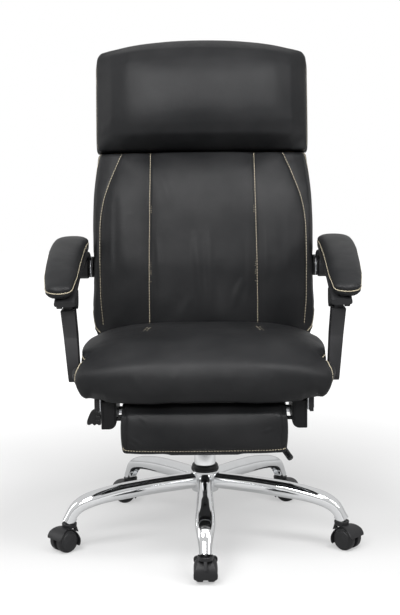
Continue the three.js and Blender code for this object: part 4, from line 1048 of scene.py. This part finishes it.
# Seat: a broad rounded nose, a thread-edged seam down each side and two short runs of stitches at the rear
seatDetail = {
    "sideLine": [(0.118, 0.43), (0.05, 0.438), (-0.06, 0.443), (-0.13, 0.446), (-0.172, 0.445), (-0.2, 0.438),
                 (-0.217, 0.424), (-0.226, 0.405), (-0.225, 0.388), (-0.218, 0.376)],
    "rearSeam": [(0.12, -0.02), (0.1265, -0.1)],
    "cheek": 0.027, "shoulder": 0.013,  # how far the sides are filled out before and behind the bend
    "reach": 0.267, "step": 0.006,  # half width at the nose, and how much less it is behind it
    "sag": 0.0012, "middleSag": 0.0038, "cornerSag": 0.0115,
    "cordRadius": 0.0013, "cordGroove": [(0.0022, 0.0035), (0.0016, 0.012)],  # depth and width of each pull
    "rearGroove": (0.0035, 0.006), "rearAside": 0.0032, "folds": 9,
}


def detailSeat(piece):
    dense(piece)
    places = coordsOf(piece.data)
    x, y, z = places[:, 0], places[:, 1] - columnY, places[:, 2]
    behind = ramp(y, -0.202, -0.178)
    cheek = seatDetail["cheek"] * (1 - behind) * np.exp(-((z - 0.43) / 0.05) ** 2)
    places[:, 0] += np.sign(x) * cheek * ramp(np.abs(x), 0.14, 0.25)
    shoulder = seatDetail["shoulder"] * np.exp(-((z - 0.46) / 0.024) ** 2) * behind * (1 - ramp(y, 0.04, 0.12))
    places[:, 0] += np.sign(x) * shoulder * ramp(np.abs(x), 0.14, 0.24)
    limit = seatDetail["reach"] - seatDetail["step"] * ramp(y, -0.2, -0.178)
    places[:, 0] = np.sign(x) * np.minimum(np.abs(places[:, 0]), np.maximum(np.abs(x), limit))
    aside = np.abs(x)
    middle = seatDetail["middleSag"] * ramp(aside, 0.05, 0.12) * (1 - ramp(aside, 0.2, 0.211))
    corner = seatDetail["cornerSag"] * ramp(aside, 0.2305, 0.248)
    places[:, 2] -= (1 - ramp(z, 0.385, 0.43)) * (1 - ramp(y, -0.236, -0.2)) * (seatDetail["sag"] + middle + corner)
    setCoords(piece.data, places)
    tree = treeOf(piece)
    pulls, shapes, folds, lines = [], [], [], []
    for side in (-1, 1):
        edge = smoothLine([at(side * 0.26, *place) for place in seatDetail["sideLine"]], 130)
        rear = smoothLine([at(side * x, y, 0.48) for x, y in seatDetail["rearSeam"]], 40)
        lines.append((side, edge, rear))
        points = laid(tree, edge, (-side, 0, 0))[0]
        pulls += [(points, depth, width) for depth, width in seatDetail["cordGroove"]]
        pulls.append((laid(tree, rear, (0, 0, -1))[0], *seatDetail["rearGroove"]))
    for order in range(seatDetail["folds"]):
        spread = -0.21 + order * 0.052 + 0.012 * math.sin(order * 2.4)
        slant = 0.02 * math.sin(order * 1.7)
        line = smoothLine([at(spread, -0.3, 0.445 - 0.02 * math.cos(order)), at(spread + slant, -0.3, 0.4),
                           at(spread + slant * 1.6, -0.3, 0.382)], 24)
        folds.append((laid(tree, line, (0, 1, 0))[0], 0.0007 + 0.0004 * math.sin(order * 3.1), 0.011))
    drawIn(piece, pulls)
    foldOn(piece, folds)
    tree = treeOf(piece)
    for side, edge, rear in lines:
        points = laid(tree, edge, (-side, 0, 0), seatDetail["cordRadius"] * 0.35)[0]
        shapes.append(rod(points, seatDetail["cordRadius"], sides=8))
        points, normals = laid(tree, rear, (0, 0, -1))
        for aside in (-seatDetail["rearAside"], seatDetail["rearAside"]):
            shapes.append(stitches(points, normals, aside=aside))
    finishSoft(piece, "seatCushion", stay, "seat", ["seat_cushion"])
    addThread("seatStitching", shapes, stay, "seat")


detailSeat(seatCushion)

# Back: two upright seams, two seams that sweep out to the edge, cords on both edges, and soft folds low in the middle
backDetail = {
    "upright": [(0.1275, 0.02), (0.1272, 0.09), (0.126, 0.18), (0.1245, 0.27), (0.123, 0.36), (0.1225, 0.428)],
    "sweep": [(0.2385, 0.022), (0.2405, 0.05), (0.243, 0.09), (0.2435, 0.17), (0.243, 0.235), (0.2405, 0.275),
              (0.232, 0.32), (0.2165, 0.365), (0.1985, 0.41), (0.191, 0.428)],
    "edge": [(-0.03, 0.004), (-0.028, 0.03), (-0.025, 0.055), (-0.016, 0.095), (-0.012, 0.15), (-0.012, 0.25),
             (-0.012, 0.35), (-0.012, 0.43)],
    "neck": 0.006, "foot": 0.012,  # how far the back widens at its top and at its foot
    "cordRadius": 0.0014, "edgeGroove": (0.0018, 0.0035), "seamGroove": (0.0026, 0.0032),
    "uprightDip": (0.003, 0.014), "sweepDip": (0.002, 0.014), "tickTop": 0.3, "tickAside": 0.0024,
    "folds": [  # x and height of each fold's ends, rise, width
        ((-0.008, 0.07), (-0.018, 0.23), 0.0026, 0.013), ((0.016, 0.06), (0.012, 0.245), 0.0024, 0.012),
        ((0.04, 0.03), (0.036, 0.16), -0.0016, 0.014), ((-0.105, 0.1), (-0.108, 0.23), 0.0016, 0.009),
        ((0.108, 0.08), (0.105, 0.235), 0.0015, 0.009), ((-0.185, 0.12), (-0.19, 0.34), 0.0022, 0.02),
        ((-0.215, 0.1), (-0.213, 0.33), 0.0012, 0.009), ((0.205, 0.13), (0.2, 0.3), 0.0014, 0.014),
        ((0.07, 0.06), (0.095, 0.13), 0.0018, 0.012), ((-0.075, 0.3), (-0.1, 0.38), 0.0014, 0.012),
        ((-0.06, 0.02), (-0.03, 0.09), 0.0014, 0.014), ((0.15, 0.12), (0.146, 0.26), 0.0013, 0.011),
    ],
}


def detailBack(piece):
    dense(piece)
    places = coordsOf(piece.data)
    wide = ramp(np.abs(places[:, 0]), 0.17, 0.235) * ramp(places[:, 2], 0.22, 0.36)
    places[:, 0] += np.sign(places[:, 0]) * backDetail["neck"] * wide
    front = 1 - ramp(places[:, 1], -0.024, -0.02)
    wide = ramp(np.abs(places[:, 0]), 0.17, 0.23) * (1 - ramp(places[:, 2], 0.01, 0.12)) * front
    places[:, 0] += np.sign(places[:, 0]) * backDetail["foot"] * wide
    setCoords(piece.data, places)
    tree = treeOf(piece)
    pulls, folds, shapes, fronts, edges = [], [], [], [], []
    for side in (-1, 1):
        for key, count in (("upright", 120), ("sweep", 140)):
            line = smoothLine([(side * x, -0.2, z) for x, z in backDetail[key]], count)
            points = laid(tree, line, (0, 1, 0), reach=0.3)[0]
            fronts.append((key, side, line))
            pulls += [(points, *backDetail["seamGroove"]), (points, *backDetail[key + "Dip"])]
        edge = smoothLine([(side * 0.26, y, z) for y, z in backDetail["edge"]], 120)
        edges.append((side, edge))
        pulls.append((laid(tree, edge, (-side, 0, 0))[0], *backDetail["edgeGroove"]))
    for (x1, z1), (x2, z2), rise, width in backDetail["folds"]:
        middle = ((x1 + x2) / 2 + 0.003 * math.sin(37 * z2), (z1 + z2) / 2)
        line = smoothLine([(x1, -0.2, z1), (middle[0], -0.2, middle[1]), (x2, -0.2, z2)], 30)
        folds.append((laid(tree, line, (0, 1, 0), reach=0.3)[0], rise, width))
    drawIn(piece, pulls)
    foldOn(piece, folds)
    tree = treeOf(piece)
    for key, side, line in fronts:
        points, normals = laid(tree, line, (0, 1, 0), reach=0.3)
        shapes.append(stitches(points, normals, length=0.0056, gap=0.0011, radius=0.00095))
        if key == "upright":
            low = [index for index, point in enumerate(line) if point.z < backDetail["tickTop"]]
            shapes.append(stitches([points[i] for i in low], [normals[i] for i in low], length=0.0042, gap=0.0034,
                                   radius=0.00055, aside=-side * backDetail["tickAside"], across=True))
    for side, edge in edges:
        points = laid(tree, edge, (-side, 0, 0), backDetail["cordRadius"] * 0.3)[0]
        shapes.append(rod(points, backDetail["cordRadius"], sides=8))
    finishSoft(piece, "backCushion", backPlace, "back", ["back_cushion"])
    addThread("backStitching", shapes, backPlace, "back")


detailBack(backCushion)

# Headrest: a full pillow with a cord round each end
headDetail = {
    "edgeDepth": -0.026, "heights": [0.445, 0.5, 0.56, 0.62, 0.66], "cordRadius": 0.0013, "groove": (0.002, 0.004),
    "wider": 0.0035, "cornerWider": 0.005, "higher": 0.0068, "cornerHigher": 0.0055,
}


def detailHeadrest(piece):
    dense(piece, 2)
    places = coordsOf(piece.data)
    side, level = np.abs(places[:, 0]), places[:, 2]
    corner = ramp(side, 0.2, 0.245) * ramp(level, 0.6, 0.675)
    wider = headDetail["cornerWider"] * corner + headDetail["wider"] * ramp(side, 0.2, 0.24)
    places[:, 0] += np.sign(places[:, 0]) * wider
    places[:, 2] += (headDetail["higher"] + headDetail["cornerHigher"] * corner) * ramp(level, 0.58, 0.69)
    setCoords(piece.data, places)
    tree = treeOf(piece)
    shapes, pulls, lines = [], [], []
    for side in (-1, 1):
        line = smoothLine([(side * 0.25, headDetail["edgeDepth"], z) for z in headDetail["heights"]], 90)
        lines.append((side, line))
        pulls.append((laid(tree, line, (-side, 0, 0))[0], *headDetail["groove"]))
    drawIn(piece, pulls)
    tree = treeOf(piece)
    for side, line in lines:
        points = laid(tree, line, (-side, 0, 0), headDetail["cordRadius"] * 0.3)[0]
        shapes.append(rod(points, headDetail["cordRadius"], sides=8))
    finishSoft(piece, "headrestCushion", backPlace, "back", ["headrest_cushion"])
    addThread("headrestCords", shapes, backPlace, "back")


detailHeadrest(headrest)
dense(rearPanel)
finishSoft(rearPanel, "backRearPanel", backPlace, "back", ["back_rear_panel"])

# Footrest pad: a seam down each side of its face and a stitched edge along the bottom
footDetail = {
    "sideSeam": [(0.163, 0.03), (0.1635, 0.0), (0.1635, -0.03), (0.162, -0.054)],
    "bottom": [(-0.1705, -0.0515), (-0.166, -0.0555), (-0.152, -0.058), (0.0, -0.0592), (0.152, -0.058),
               (0.166, -0.0555), (0.1705, -0.0515)],
    "folds": [((-0.155, -0.03), (-0.128, -0.048)), ((-0.158, -0.04), (-0.14, -0.052)),
              ((-0.135, 0.015), (-0.12, 0.002)), ((0.12, -0.02), (0.145, -0.012))],
    "rearRise": 0.0115, "sideGroove": (0.0038, 0.0036), "bottomGroove": (0.0016, 0.004),
}


def detailFootPad(piece):
    dense(piece)
    places = coordsOf(piece.data)
    places[:, 2] += footDetail["rearRise"] * ramp(places[:, 2], 0.012, 0.028) * ramp(places[:, 1], -0.062, -0.035)
    setCoords(piece.data, places)
    tree = treeOf(piece)
    pulls, folds = [], []
    for side in (-1, 1):
        line = smoothLine([(side * x, -0.2, z) for x, z in footDetail["sideSeam"]], 60)
        pulls.append((laid(tree, line, (0, 1, 0))[0], *footDetail["sideGroove"]))
    bottom = smoothLine([(x, -0.2, z) for x, z in footDetail["bottom"]], 220)
    pulls.append((laid(tree, bottom, (0, 1, 0))[0], *footDetail["bottomGroove"]))
    for order, ((x1, z1), (x2, z2)) in enumerate(footDetail["folds"]):
        line = smoothLine([(x1, -0.2, z1), ((x1 + x2) / 2, -0.2, (z1 + z2) / 2 + 0.002), (x2, -0.2, z2)], 16)
        folds.append((laid(tree, line, (0, 1, 0))[0], 0.0013 - 0.0001 * order, 0.005))
    drawIn(piece, pulls)
    foldOn(piece, folds)
    points, normals = laid(treeOf(piece), bottom, (0, 1, 0))
    shapes = [stitches(points, normals, length=0.0044, gap=0.0016, radius=0.00095)]
    finishSoft(piece, "footrestCushion", padPlace, "footrest_pad", ["footrest_cushion"])
    addThread("footrestStitching", shapes, padPlace, "footrest_pad")


detailFootPad(footPad)
print("cushions ready")

# Arms: the padded top follows a swept line from its rear pivot down to the post at the front
arm = {
    "padPlace": 0.301, "clevisPlace": 0.289, "rear": 0.216, "front": -0.196, "low": 0.57, "high": 0.638,
    "path": [(0, 0.64), (0.063, 0.91), (0.184, 1), (0.379, 0.93), (0.67, 0.61), (0.913, 0.2), (1, 0)],
    "padWidth": 0.071, "padHeight": 0.037, "widths": [0.8, 1, 1, 1, 1, 0.84], "heights": [0.72, 1, 1, 1, 0.98, 0.85],
    "barWidth": 0.044, "barHeight": 0.013, "gap": 0.0003, "cord": 0.0012,
    "pivot": (0.22, 0.593), "eyeRadius": 0.028, "eyeInner": 0.274, "eyeOuter": 0.296, "discRadius": 0.025,
    "discInner": 0.262, "discOuter": 0.273, "pinRadius": 0.006,
    "head": (-0.135, 0.565), "foot": (-0.155, 0.404), "footPlace": 0.278,
    "clevisWidth": 0.045, "clevisDepth": 0.038, "clevisRise": 0.019, "slot": 0.023, "tongueWidth": 0.02,
    "tongueRadius": 0.011, "clevisPin": 0.004, "outerRoom": 0.009, "postTaper": 0.35, "postWidth": 0.031,
    "postDepth": 0.04, "footRadius": 0.013, "voxel": 0.004,
    "seamLevels": [(0.56, 0.0022, 0.0034), (0.16, 0.0018, 0.003)],  # share of the height, depth and width
}


def armLine(side, place, count):
    return smoothLine([at(side * place, arm["rear"] + (arm["front"] - arm["rear"]) * run,
                          arm["low"] + (arm["high"] - arm["low"]) * rise) for run, rise in arm["path"]], count)


def pinAlong(x1, x2, y, z, radius, sides=32):
    low, high = sorted((x1, x2))
    soft = min(0.0006, radius * 0.2)
    return turnedSolid([(radius - soft, 0), (radius, soft), (radius, high - low - soft), (radius - soft, high - low)],
                       at(low, y, z), (1, 0, 0), sides)


# Heading and upward direction of an arm's line at one of its points
def armFrameAt(line, index):
    heading = (line[min(index + 1, len(line) - 1)] - line[max(index - 1, 0)]).normalized()
    return heading, heading.cross(Vector((1, 0, 0))).normalized()


# The section of the pad: a domed top over a boxier band, both ends rounded off.
def padSection(line, index, width, height, side):
    share = index / (len(line) - 1)
    extra = arm["outerRoom"] * min(1.0, max(0.0, (0.92 - share) / 0.45))
    up = armFrameAt(line, index)[1]
    reach = min(share, 1 - share) / 0.05
    shrink = math.sqrt(max(0.04, 1 - (1 - min(1.0, reach)) ** 2.4))
    ring = []
    for k in range(48):
        c, s = math.cos(2 * math.pi * k / 48), math.sin(2 * math.pi * k / 48)
        top = s > 0
        narrowing = 1.0 if top else 1 - 0.14 * abs(s)
        across = math.copysign(abs(c) ** (0.8 if top else 0.42), c) * narrowing * width(share) / 2
        rise = math.copysign(abs(s) ** (0.85 if top else 0.6), s) * height(share) * (0.46 if top else 0.54)
        if across * side > 0:
            across *= 1 + extra / (arm["padWidth"] / 2)
        ring.append(line[index] + Vector((1, 0, 0)) * across * shrink
                    + up * (rise * (0.4 + 0.6 * shrink) + height(share) * 0.54 + arm["gap"]))
    return ring


def armPadPiece(side):
    line = armLine(side, arm["padPlace"], 90)
    height = lambda share: arm["padHeight"] * between(arm["heights"], share)
    width = lambda share: arm["padWidth"] * between(arm["widths"], share)
    piece = looseObject("armPad", skin([padSection(line, index, width, height, side) for index in range(len(line))]))
    stepOn(piece, "REMESH", mode="VOXEL", voxel_size=arm["voxel"])
    stepOn(piece, "SMOOTH", factor=0.5, iterations=3)
    tree = treeOf(piece)
    loops, pulls = [], []
    for level, depth, groove in arm["seamLevels"]:
        places = []  # down the inner side, round the front and back along the outer side
        steps = range(3, len(line) - 3)
        for way, order in ((-1, steps), (1, steps[::-1])):
            for index in order:
                share = index / (len(line) - 1)
                up = armFrameAt(line, index)[1]
                places.append((line[index] + up * height(share) * level, Vector((way * side, 0, 0))))
            if way == -1:
                share = (len(line) - 4) / (len(line) - 1)
                heading, up = armFrameAt(line, len(line) - 2)
                for turn in range(1, 24):
                    angle = math.pi * turn / 24
                    out = Vector((-side * math.cos(angle), 0, 0)) + heading * math.sin(angle)
                    places.append((line[-4] + up * height(share) * level, out))
        points = []
        for middle, out in places:
            found = tree.ray_cast(middle + out * 0.12, -out, 0.2)[0]
            if found is not None:
                points.append(found)
        loops.append(smoothLine(points[::2], 260))
        pulls.append((loops[-1], depth, groove))
    drawIn(piece, pulls)
    stepOn(piece, "SUBSURF", levels=1, render_levels=1)
    middle = at(0, *arm["pivot"])
    carve(piece, pinAlong(side * (arm["eyeInner"] - 0.006), side * (arm["eyeOuter"] + 0.006), *arm["pivot"],
                          arm["eyeRadius"] + arm["gap"], 64))
    tree = treeOf(piece)
    shapes = []
    for loop, radius in ((loops[0], arm["cord"]), (loops[1], arm["cord"] * 0.6)):
        points = []
        for place in loop:
            found, normal = tree.find_nearest(place)[:2]
            if math.hypot(found.y - middle.y, found.z - middle.z) > arm["eyeRadius"] + 0.004:
                points.append(found + normal * radius * 0.25)
        shapes.append(rod(points, radius, sides=8))
    name = sideNames[side]
    finishSoft(piece, f"armPad{name}", stay, f"arm_{name.lower()}", [f"arm_pad_{name.lower()}"])
    piece.data.set_sharp_from_angle(angle=math.radians(50))
    addPiece(f"armCord{name}", shapes[0], thread, f"arm_{name.lower()}", (), 60)
    addPiece(f"armSeam{name}", shapes[1], satinPlastic, f"arm_{name.lower()}", (), 60)


def armFramePiece(side):
    name = sideNames[side]
    line = armLine(side, arm["clevisPlace"], 80)
    bar = bentBar(line, (1, 0, 0), lambda share: arm["barWidth"], lambda share: arm["barHeight"],
                  lambda share: -arm["barHeight"] / 2, 0.5, 32)
    y, z = arm["pivot"]
    inner, outer, r, bore = arm["eyeInner"], arm["eyeOuter"], arm["eyeRadius"], arm["pinRadius"] + 0.0004
    low, high = sorted((side * inner, side * outer))
    long = high - low
    eye = turnedRing([(bore, 0), (r - 0.002, 0), (r, 0.002), (r, long - 0.002), (r - 0.002, long), (r * 0.72, long),
                      (r * 0.7, long - 0.0008), (r * 0.62, long - 0.0008), (r * 0.6, long), (bore, long)],
                     at(low, y, z), (1, 0, 0), 56)
    headY, headZ = arm["head"]
    half = arm["clevisDepth"] / 2
    front, rear = headY + columnY - half, headY + columnY + half
    top, under = headZ + arm["clevisRise"], headZ + arm["tongueRadius"] + 0.0012
    outline = arc((headY + columnY, headZ), half, 180, 360, 22) + [(rear, top), (front, top)]
    a = side * arm["clevisPlace"]
    slotHalf, wide = arm["slot"] / 2, arm["clevisWidth"] / 2
    cheeks = []
    for way in (-1, 1):
        ends = sorted((a + way * slotHalf, a + way * wide))
        cheeks.append(fromMesh(plate(outline, "x", ends[0], ends[1], 0.0014, 3)))
    bridge = fromMesh(plate([(front, under), (rear, under), (rear, top), (front, top)], "x",
                            a - slotHalf - 0.0015, a + slotHalf + 0.0015))
    heads = [pinAlong(a + way * (wide - 0.0004), a + way * (wide + 0.0006), headY, headZ, arm["clevisPin"] * 1.5, 24)
             for way in (-1, 1)]
    pin = pinAlong(a - wide + 0.002, a + wide - 0.002, headY, headZ, arm["clevisPin"])
    addPiece(f"armFrame{name}", mixed(bar, eye, *cheeks, bridge, pin, *heads), satinPlastic, f"arm_{name.lower()}",
             [f"arm_frame_{name.lower()}"])


def armPostPiece(side):
    name = sideNames[side]
    footY, footZ = arm["foot"]
    headY, headZ = arm["head"]
    shoulder = headZ - arm["clevisDepth"] / 2 - 0.0013
    half, middle = arm["postDepth"] / 2, (headZ + footZ) / 2
    headMiddle = headY + columnY
    outline = arc((footY + columnY, footZ), arm["footRadius"], 180, 360, 24)
    outline += [(headMiddle + half - 0.001, middle), (headMiddle + half, middle + 0.004), (headMiddle + half, shoulder),
                (headMiddle - half, shoulder), (headMiddle - half, middle + 0.004), (headMiddle - half - 0.001, middle)]
    body = plate(outline, "x", -arm["postWidth"] / 2, arm["postWidth"] / 2, 0.0022, 3)
    tongueLine = arc((headMiddle, headZ), arm["tongueRadius"], 0, 180, 20)
    tongueLine += [(headMiddle - arm["tongueRadius"], shoulder - 0.0006),
                   (headMiddle + arm["tongueRadius"], shoulder - 0.0006)]
    tongue = plate(tongueLine, "x", -arm["tongueWidth"] / 2, arm["tongueWidth"] / 2, 0.0008, 2)
    cap = turnedSolid([(0.0092, 0), (0.0092, 0.0004), (0.0086, 0.001), (0.0035, 0.001), (0.003, 0.0004),
                       (0.0001, 0.0004)], (0, footY + columnY, footZ), (side, 0, 0), 36)
    cap = moved(cap, Matrix.Translation((side * (arm["postWidth"] / 2 - 0.0002), 0, 0)))
    shape = mixed(fromMesh(body), fromMesh(tongue), cap)
    places = []
    for place in shape[0]:
        share = (place.z - footZ) / (headZ - footZ)
        if place.x * side > 0:
            place.x *= 1 - arm["postTaper"] * (1 - min(max(share, 0.0), 1.0))
        place.x += side * (arm["footPlace"] + (arm["clevisPlace"] - arm["footPlace"]) * share)
        places.append(place)
    piece = looseObject("post", (places, shape[1]))
    studEnd = arm["footPlace"] + arm["postWidth"] / 4 + 0.001
    carve(piece, pinAlong(side * (arm["footPlace"] - arm["postWidth"]), side * studEnd, footY, footZ, 0.0063),
          pinAlong(side * (arm["clevisPlace"] - 0.02), side * (arm["clevisPlace"] + 0.02), headY, headZ,
                   arm["clevisPin"] + 0.001))
    shape = shapeOf(piece)
    bpy.data.objects.remove(piece)
    addPiece(f"armPost{name}", shape, satinPlastic, f"post_{name.lower()}", [f"arm_post_{name.lower()}"])


def pivotPiece(side):
    name = sideNames[side]
    y, z = arm["pivot"]
    long = arm["discOuter"] - arm["discInner"]
    r = arm["discRadius"]
    disc = turnedSolid([(r - 0.0012, 0), (r, 0.0008), (r, long * 0.42), (r - 0.0012, long * 0.46),
                        (r - 0.0012, long * 0.6), (r, long * 0.64), (r, long - 0.001), (r - 0.001, long)],
                       at(side * arm["discInner"], y, z), (side, 0, 0), 56)
    first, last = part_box(f"arm_pivot_{name.lower()}")
    pin = pinAlong(first[0], last[0], y, z, arm["pinRadius"])
    addPiece(f"armPivot{name}", mixed(disc, pin), satinPlastic, "back", [f"arm_pivot_{name.lower()}"])
    rim = turnedRing([(r - 0.0011, 0), (r + 0.0003, 0), (r + 0.0003, 0.0018), (r - 0.0011, 0.0018)],
                     at(side * (arm["discInner"] + long * 0.45), y, z), (side, 0, 0), 56)
    addPiece(f"armPivotRim{name}", rim, zincSteel, "back", ())


for side in (-1, 1):
    armPadPiece(side)
    armFramePiece(side)
    armPostPiece(side)
    pivotPiece(side)
print("arms ready")

# Footrest carriage: covered arms, crossbar and the end caps of the sliding rails
carriage = {
    "inner": 0.185, "outer": 0.217, "low": 0.298, "high": 0.358, "front": -0.202, "rear": -0.082, "corner": 0.016,
    "seamAside": 0.0042, "seamRadius": 0.0008,
    "pin": 0.004, "pinLine": (-0.19, 0.318), "pinLength": 0.019,
    "bar": 0.008, "barLine": (-0.13, 0.324), "barHalf": 0.1846,
    "capSpan": (0.2194, 0.2264), "capFront": -0.2086, "capRear": -0.2053, "mouthSpan": (0.2215, 0.2295),
}


def footrestArmPiece(side):
    name = sideNames[side]
    inner, outer, low, high = (carriage[key] for key in ("inner", "outer", "low", "high"))
    curve = arc((inner + carriage["corner"], low + carriage["corner"]), carriage["corner"], 180, 270, 14)
    outline = [(side * x, z) for x, z in [*curve, (outer, low), (outer, high), (inner, high)]]
    cover = plate(outline, "y", carriage["front"] + columnY, carriage["rear"] + columnY, 0.003, 4)
    y, z = carriage["pinLine"]
    pin = pinAlong(side * (inner + 0.002), side * (inner - carriage["pinLength"]), y, z, carriage["pin"])
    shape = mixed(fromMesh(cover), pin)
    piece = addPiece(f"footrestArm{name}", shape, leather, "footrest_carriage", [f"footrest_arm_{name.lower()}"])
    seams = []
    aside = carriage["seamAside"]
    face = carriage["front"] - 0.0002
    for x, bottom in ((inner + aside, low + 0.014), (outer - aside, low + 0.004)):
        track = [at(side * x, face, level) for level in (bottom, (bottom + high) / 2, high - 0.004)]
        seams.append(rod(smoothLine(track, 16), carriage["seamRadius"], sides=8))
    addPiece(f"footrestArmSeam{name}", mixed(*seams), leather, "footrest_carriage", (), 60)
    slide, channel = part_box(f"slide_rail_{name.lower()}"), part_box(f"footrest_rail_{name.lower()}")
    front, rear = carriage["capFront"] + columnY, carriage["capRear"] + columnY
    near, far = sorted(side * x for x in carriage["capSpan"])
    cap = softBox((near, front, slide[0][2] + 0.0004), (far, rear, slide[1][2] - 0.0004), 0.0011)
    addPiece(f"slideCap{name}", cap, satinPlastic, "footrest_carriage", ())
    low, high, (innerEnd, end) = channel[0][2] - 0.001, channel[1][2] - 0.0002, carriage["mouthSpan"]
    slideLow, slideHigh = slide[0][2] - 0.0003, slide[1][2] + 0.0003
    inside = max(abs(slide[0][0]), abs(slide[1][0])) + 0.0003
    mouth = [(innerEnd, low), (end, low), (end, high), (innerEnd, high), (innerEnd, slideHigh), (inside, slideHigh),
             (inside, slideLow), (innerEnd, slideLow)]
    bezel = plate([(side * x, z) for x, z in mouth], "y", front + 0.0012, rear, 0.0003, 2)
    addPiece(f"railMouth{name}", bezel, satinPlastic, "seat", ())


for side in (-1, 1):
    footrestArmPiece(side)
half, r = carriage["barHalf"], carriage["bar"]
crossbar = turnedSolid([(r - 0.0012, 0), (r, 0.0012), (r, half), (r, half * 2 - 0.0012), (r - 0.0012, half * 2)],
                       at(-half, *carriage["barLine"]), (1, 0, 0), 40)
addPiece("footrestCrossbar", crossbar, zincSteel, "footrest_carriage", ["footrest_crossbar"])

# Recline lever: a fan-shaped paddle with finger hollows along its lower edge
paddle = {
    "fan": [(-0.2295, 0.3118), (-0.2395, 0.3106), (-0.25, 0.305), (-0.2563, 0.2937), (-0.2601, 0.2824),
            (-0.2594, 0.2757), (-0.2542, 0.2746), (-0.249, 0.2773), (-0.2438, 0.2735), (-0.2385, 0.2762),
            (-0.234, 0.2738), (-0.2295, 0.2748)],
    "line": (-0.06, 0.291), "half": 0.006, "shaft": 0.005, "shaftEnds": (-0.058, -0.2291), "collar": 0.0084,
    "collarSpan": (-0.2293, -0.242),
}


def makePaddle():
    y, z = paddle["line"]
    fan = smoothLine([Vector((x, 0, height)) for x, height in paddle["fan"]], 60)
    outline = [(point.x, point.z) for point in fan]
    low, high = y - paddle["half"] + columnY, y + paddle["half"] + columnY
    blade = plate(outline, "y", low, high, 0.0018, 3)
    first, last = paddle["collarSpan"]
    r, long = paddle["collar"], abs(last - first)
    collar = turnedSolid([(r - 0.001, 0), (r, 0.001), (r, 0.011), (r - 0.002, long), (0.0001, long)],
                         at(first, y, z), (-1, 0, 0), 40)
    addPiece("reclinePaddle", mixed(fromMesh(blade), collar), satinPlastic, "recline_lever", ["recline_paddle"])
    start, end = paddle["shaftEnds"]
    r, long = paddle["shaft"], abs(end - start)
    shaft = turnedSolid([(0.0044, 0), (r, 0.0006), (r, long - 0.0006), (0.0044, long)], at(start, y, z), (-1, 0, 0), 32)
    addPiece("reclineShaft", shaft, groundSteel, "recline_lever", ["recline_shaft"])


makePaddle()

# Height lever: a bent rod and a ribbed grip
lift = {"hingeX": 0.036, "bend": (0.132, 0.0, 0.268), "tip": (0.19, -0.09, 0.2), "rod": 0.004, "grip": 0.007,
        "gripLength": 0.046, "pin": 0.003, "pinHalf": 0.0081}


def makeLift():
    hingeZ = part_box("lift_lever_rod")[1][2] - lift["rod"]
    bend, tip = Vector(lift["bend"]), Vector(lift["tip"])
    heading = (tip - bend).normalized()
    gripStart = tip - heading * lift["gripLength"]
    rodEnd = tip - heading * lift["grip"]
    places = [Vector((-lift["rod"], 0, hingeZ)), Vector((lift["hingeX"], 0, hingeZ)), bend, gripStart,
              gripStart.lerp(rodEnd, 0.5), rodEnd]
    line = smoothLine([place + Vector((0, columnY, 0)) for place in places], 60)
    pin = turnedSolid([(lift["pin"], 0), (lift["pin"], lift["pinHalf"] * 2)],
                      at(lift["hingeX"], -lift["pinHalf"], hingeZ), (0, 1, 0), 24)
    addPiece("liftLeverRod", mixed(rod(line, lift["rod"], sides=20), pin), coatedSteel, "height_lever",
             ["lift_lever_rod"])
    long, r, bore = lift["gripLength"], lift["grip"], lift["rod"] + 0.0003
    profile = [(bore, 0.0), (r - 0.0016, 0.0), (r - 0.0006, 0.0012)]
    for rib in range(7):
        start = 0.003 + rib * 0.0045
        profile += [(r, start), (r, start + 0.0026), (r - 0.0006, start + 0.0032), (r - 0.0006, start + 0.004)]
    profile += [(r, long - 0.0105), (r, long - 0.003), (r - 0.0008, long - 0.0012), (r - 0.0024, long - 0.0002),
                (0.0001, long), (0.0001, long - r + 0.0004), (bore, long - r + 0.0004)]
    addPiece("liftLeverGrip", turnedRing(profile, gripStart + Vector((0, columnY, 0)), heading, 40), satinPlastic,
             "height_lever", ["lift_lever_grip"], 50)


makeLift()
print("footrest and levers ready")


# Parts that stay as they are in the frame take their finish by slot
slotFinish = {"chrome": chrome, "black_plastic": satinPlastic, "grey_nylon": paleNylon, "black_steel": coatedSteel,
              "zinc_steel": zincSteel, "plywood": plywood, "black_leather": leather}
slotOf = {entry["node"]: entry["material_slot"] for entry in frame["record"]["subparts"]}
for name, node in frame["nodes"].items():
    node.data.materials.clear()
    node.data.materials.append(slotFinish[slotOf[name]])

print("all pieces ready")
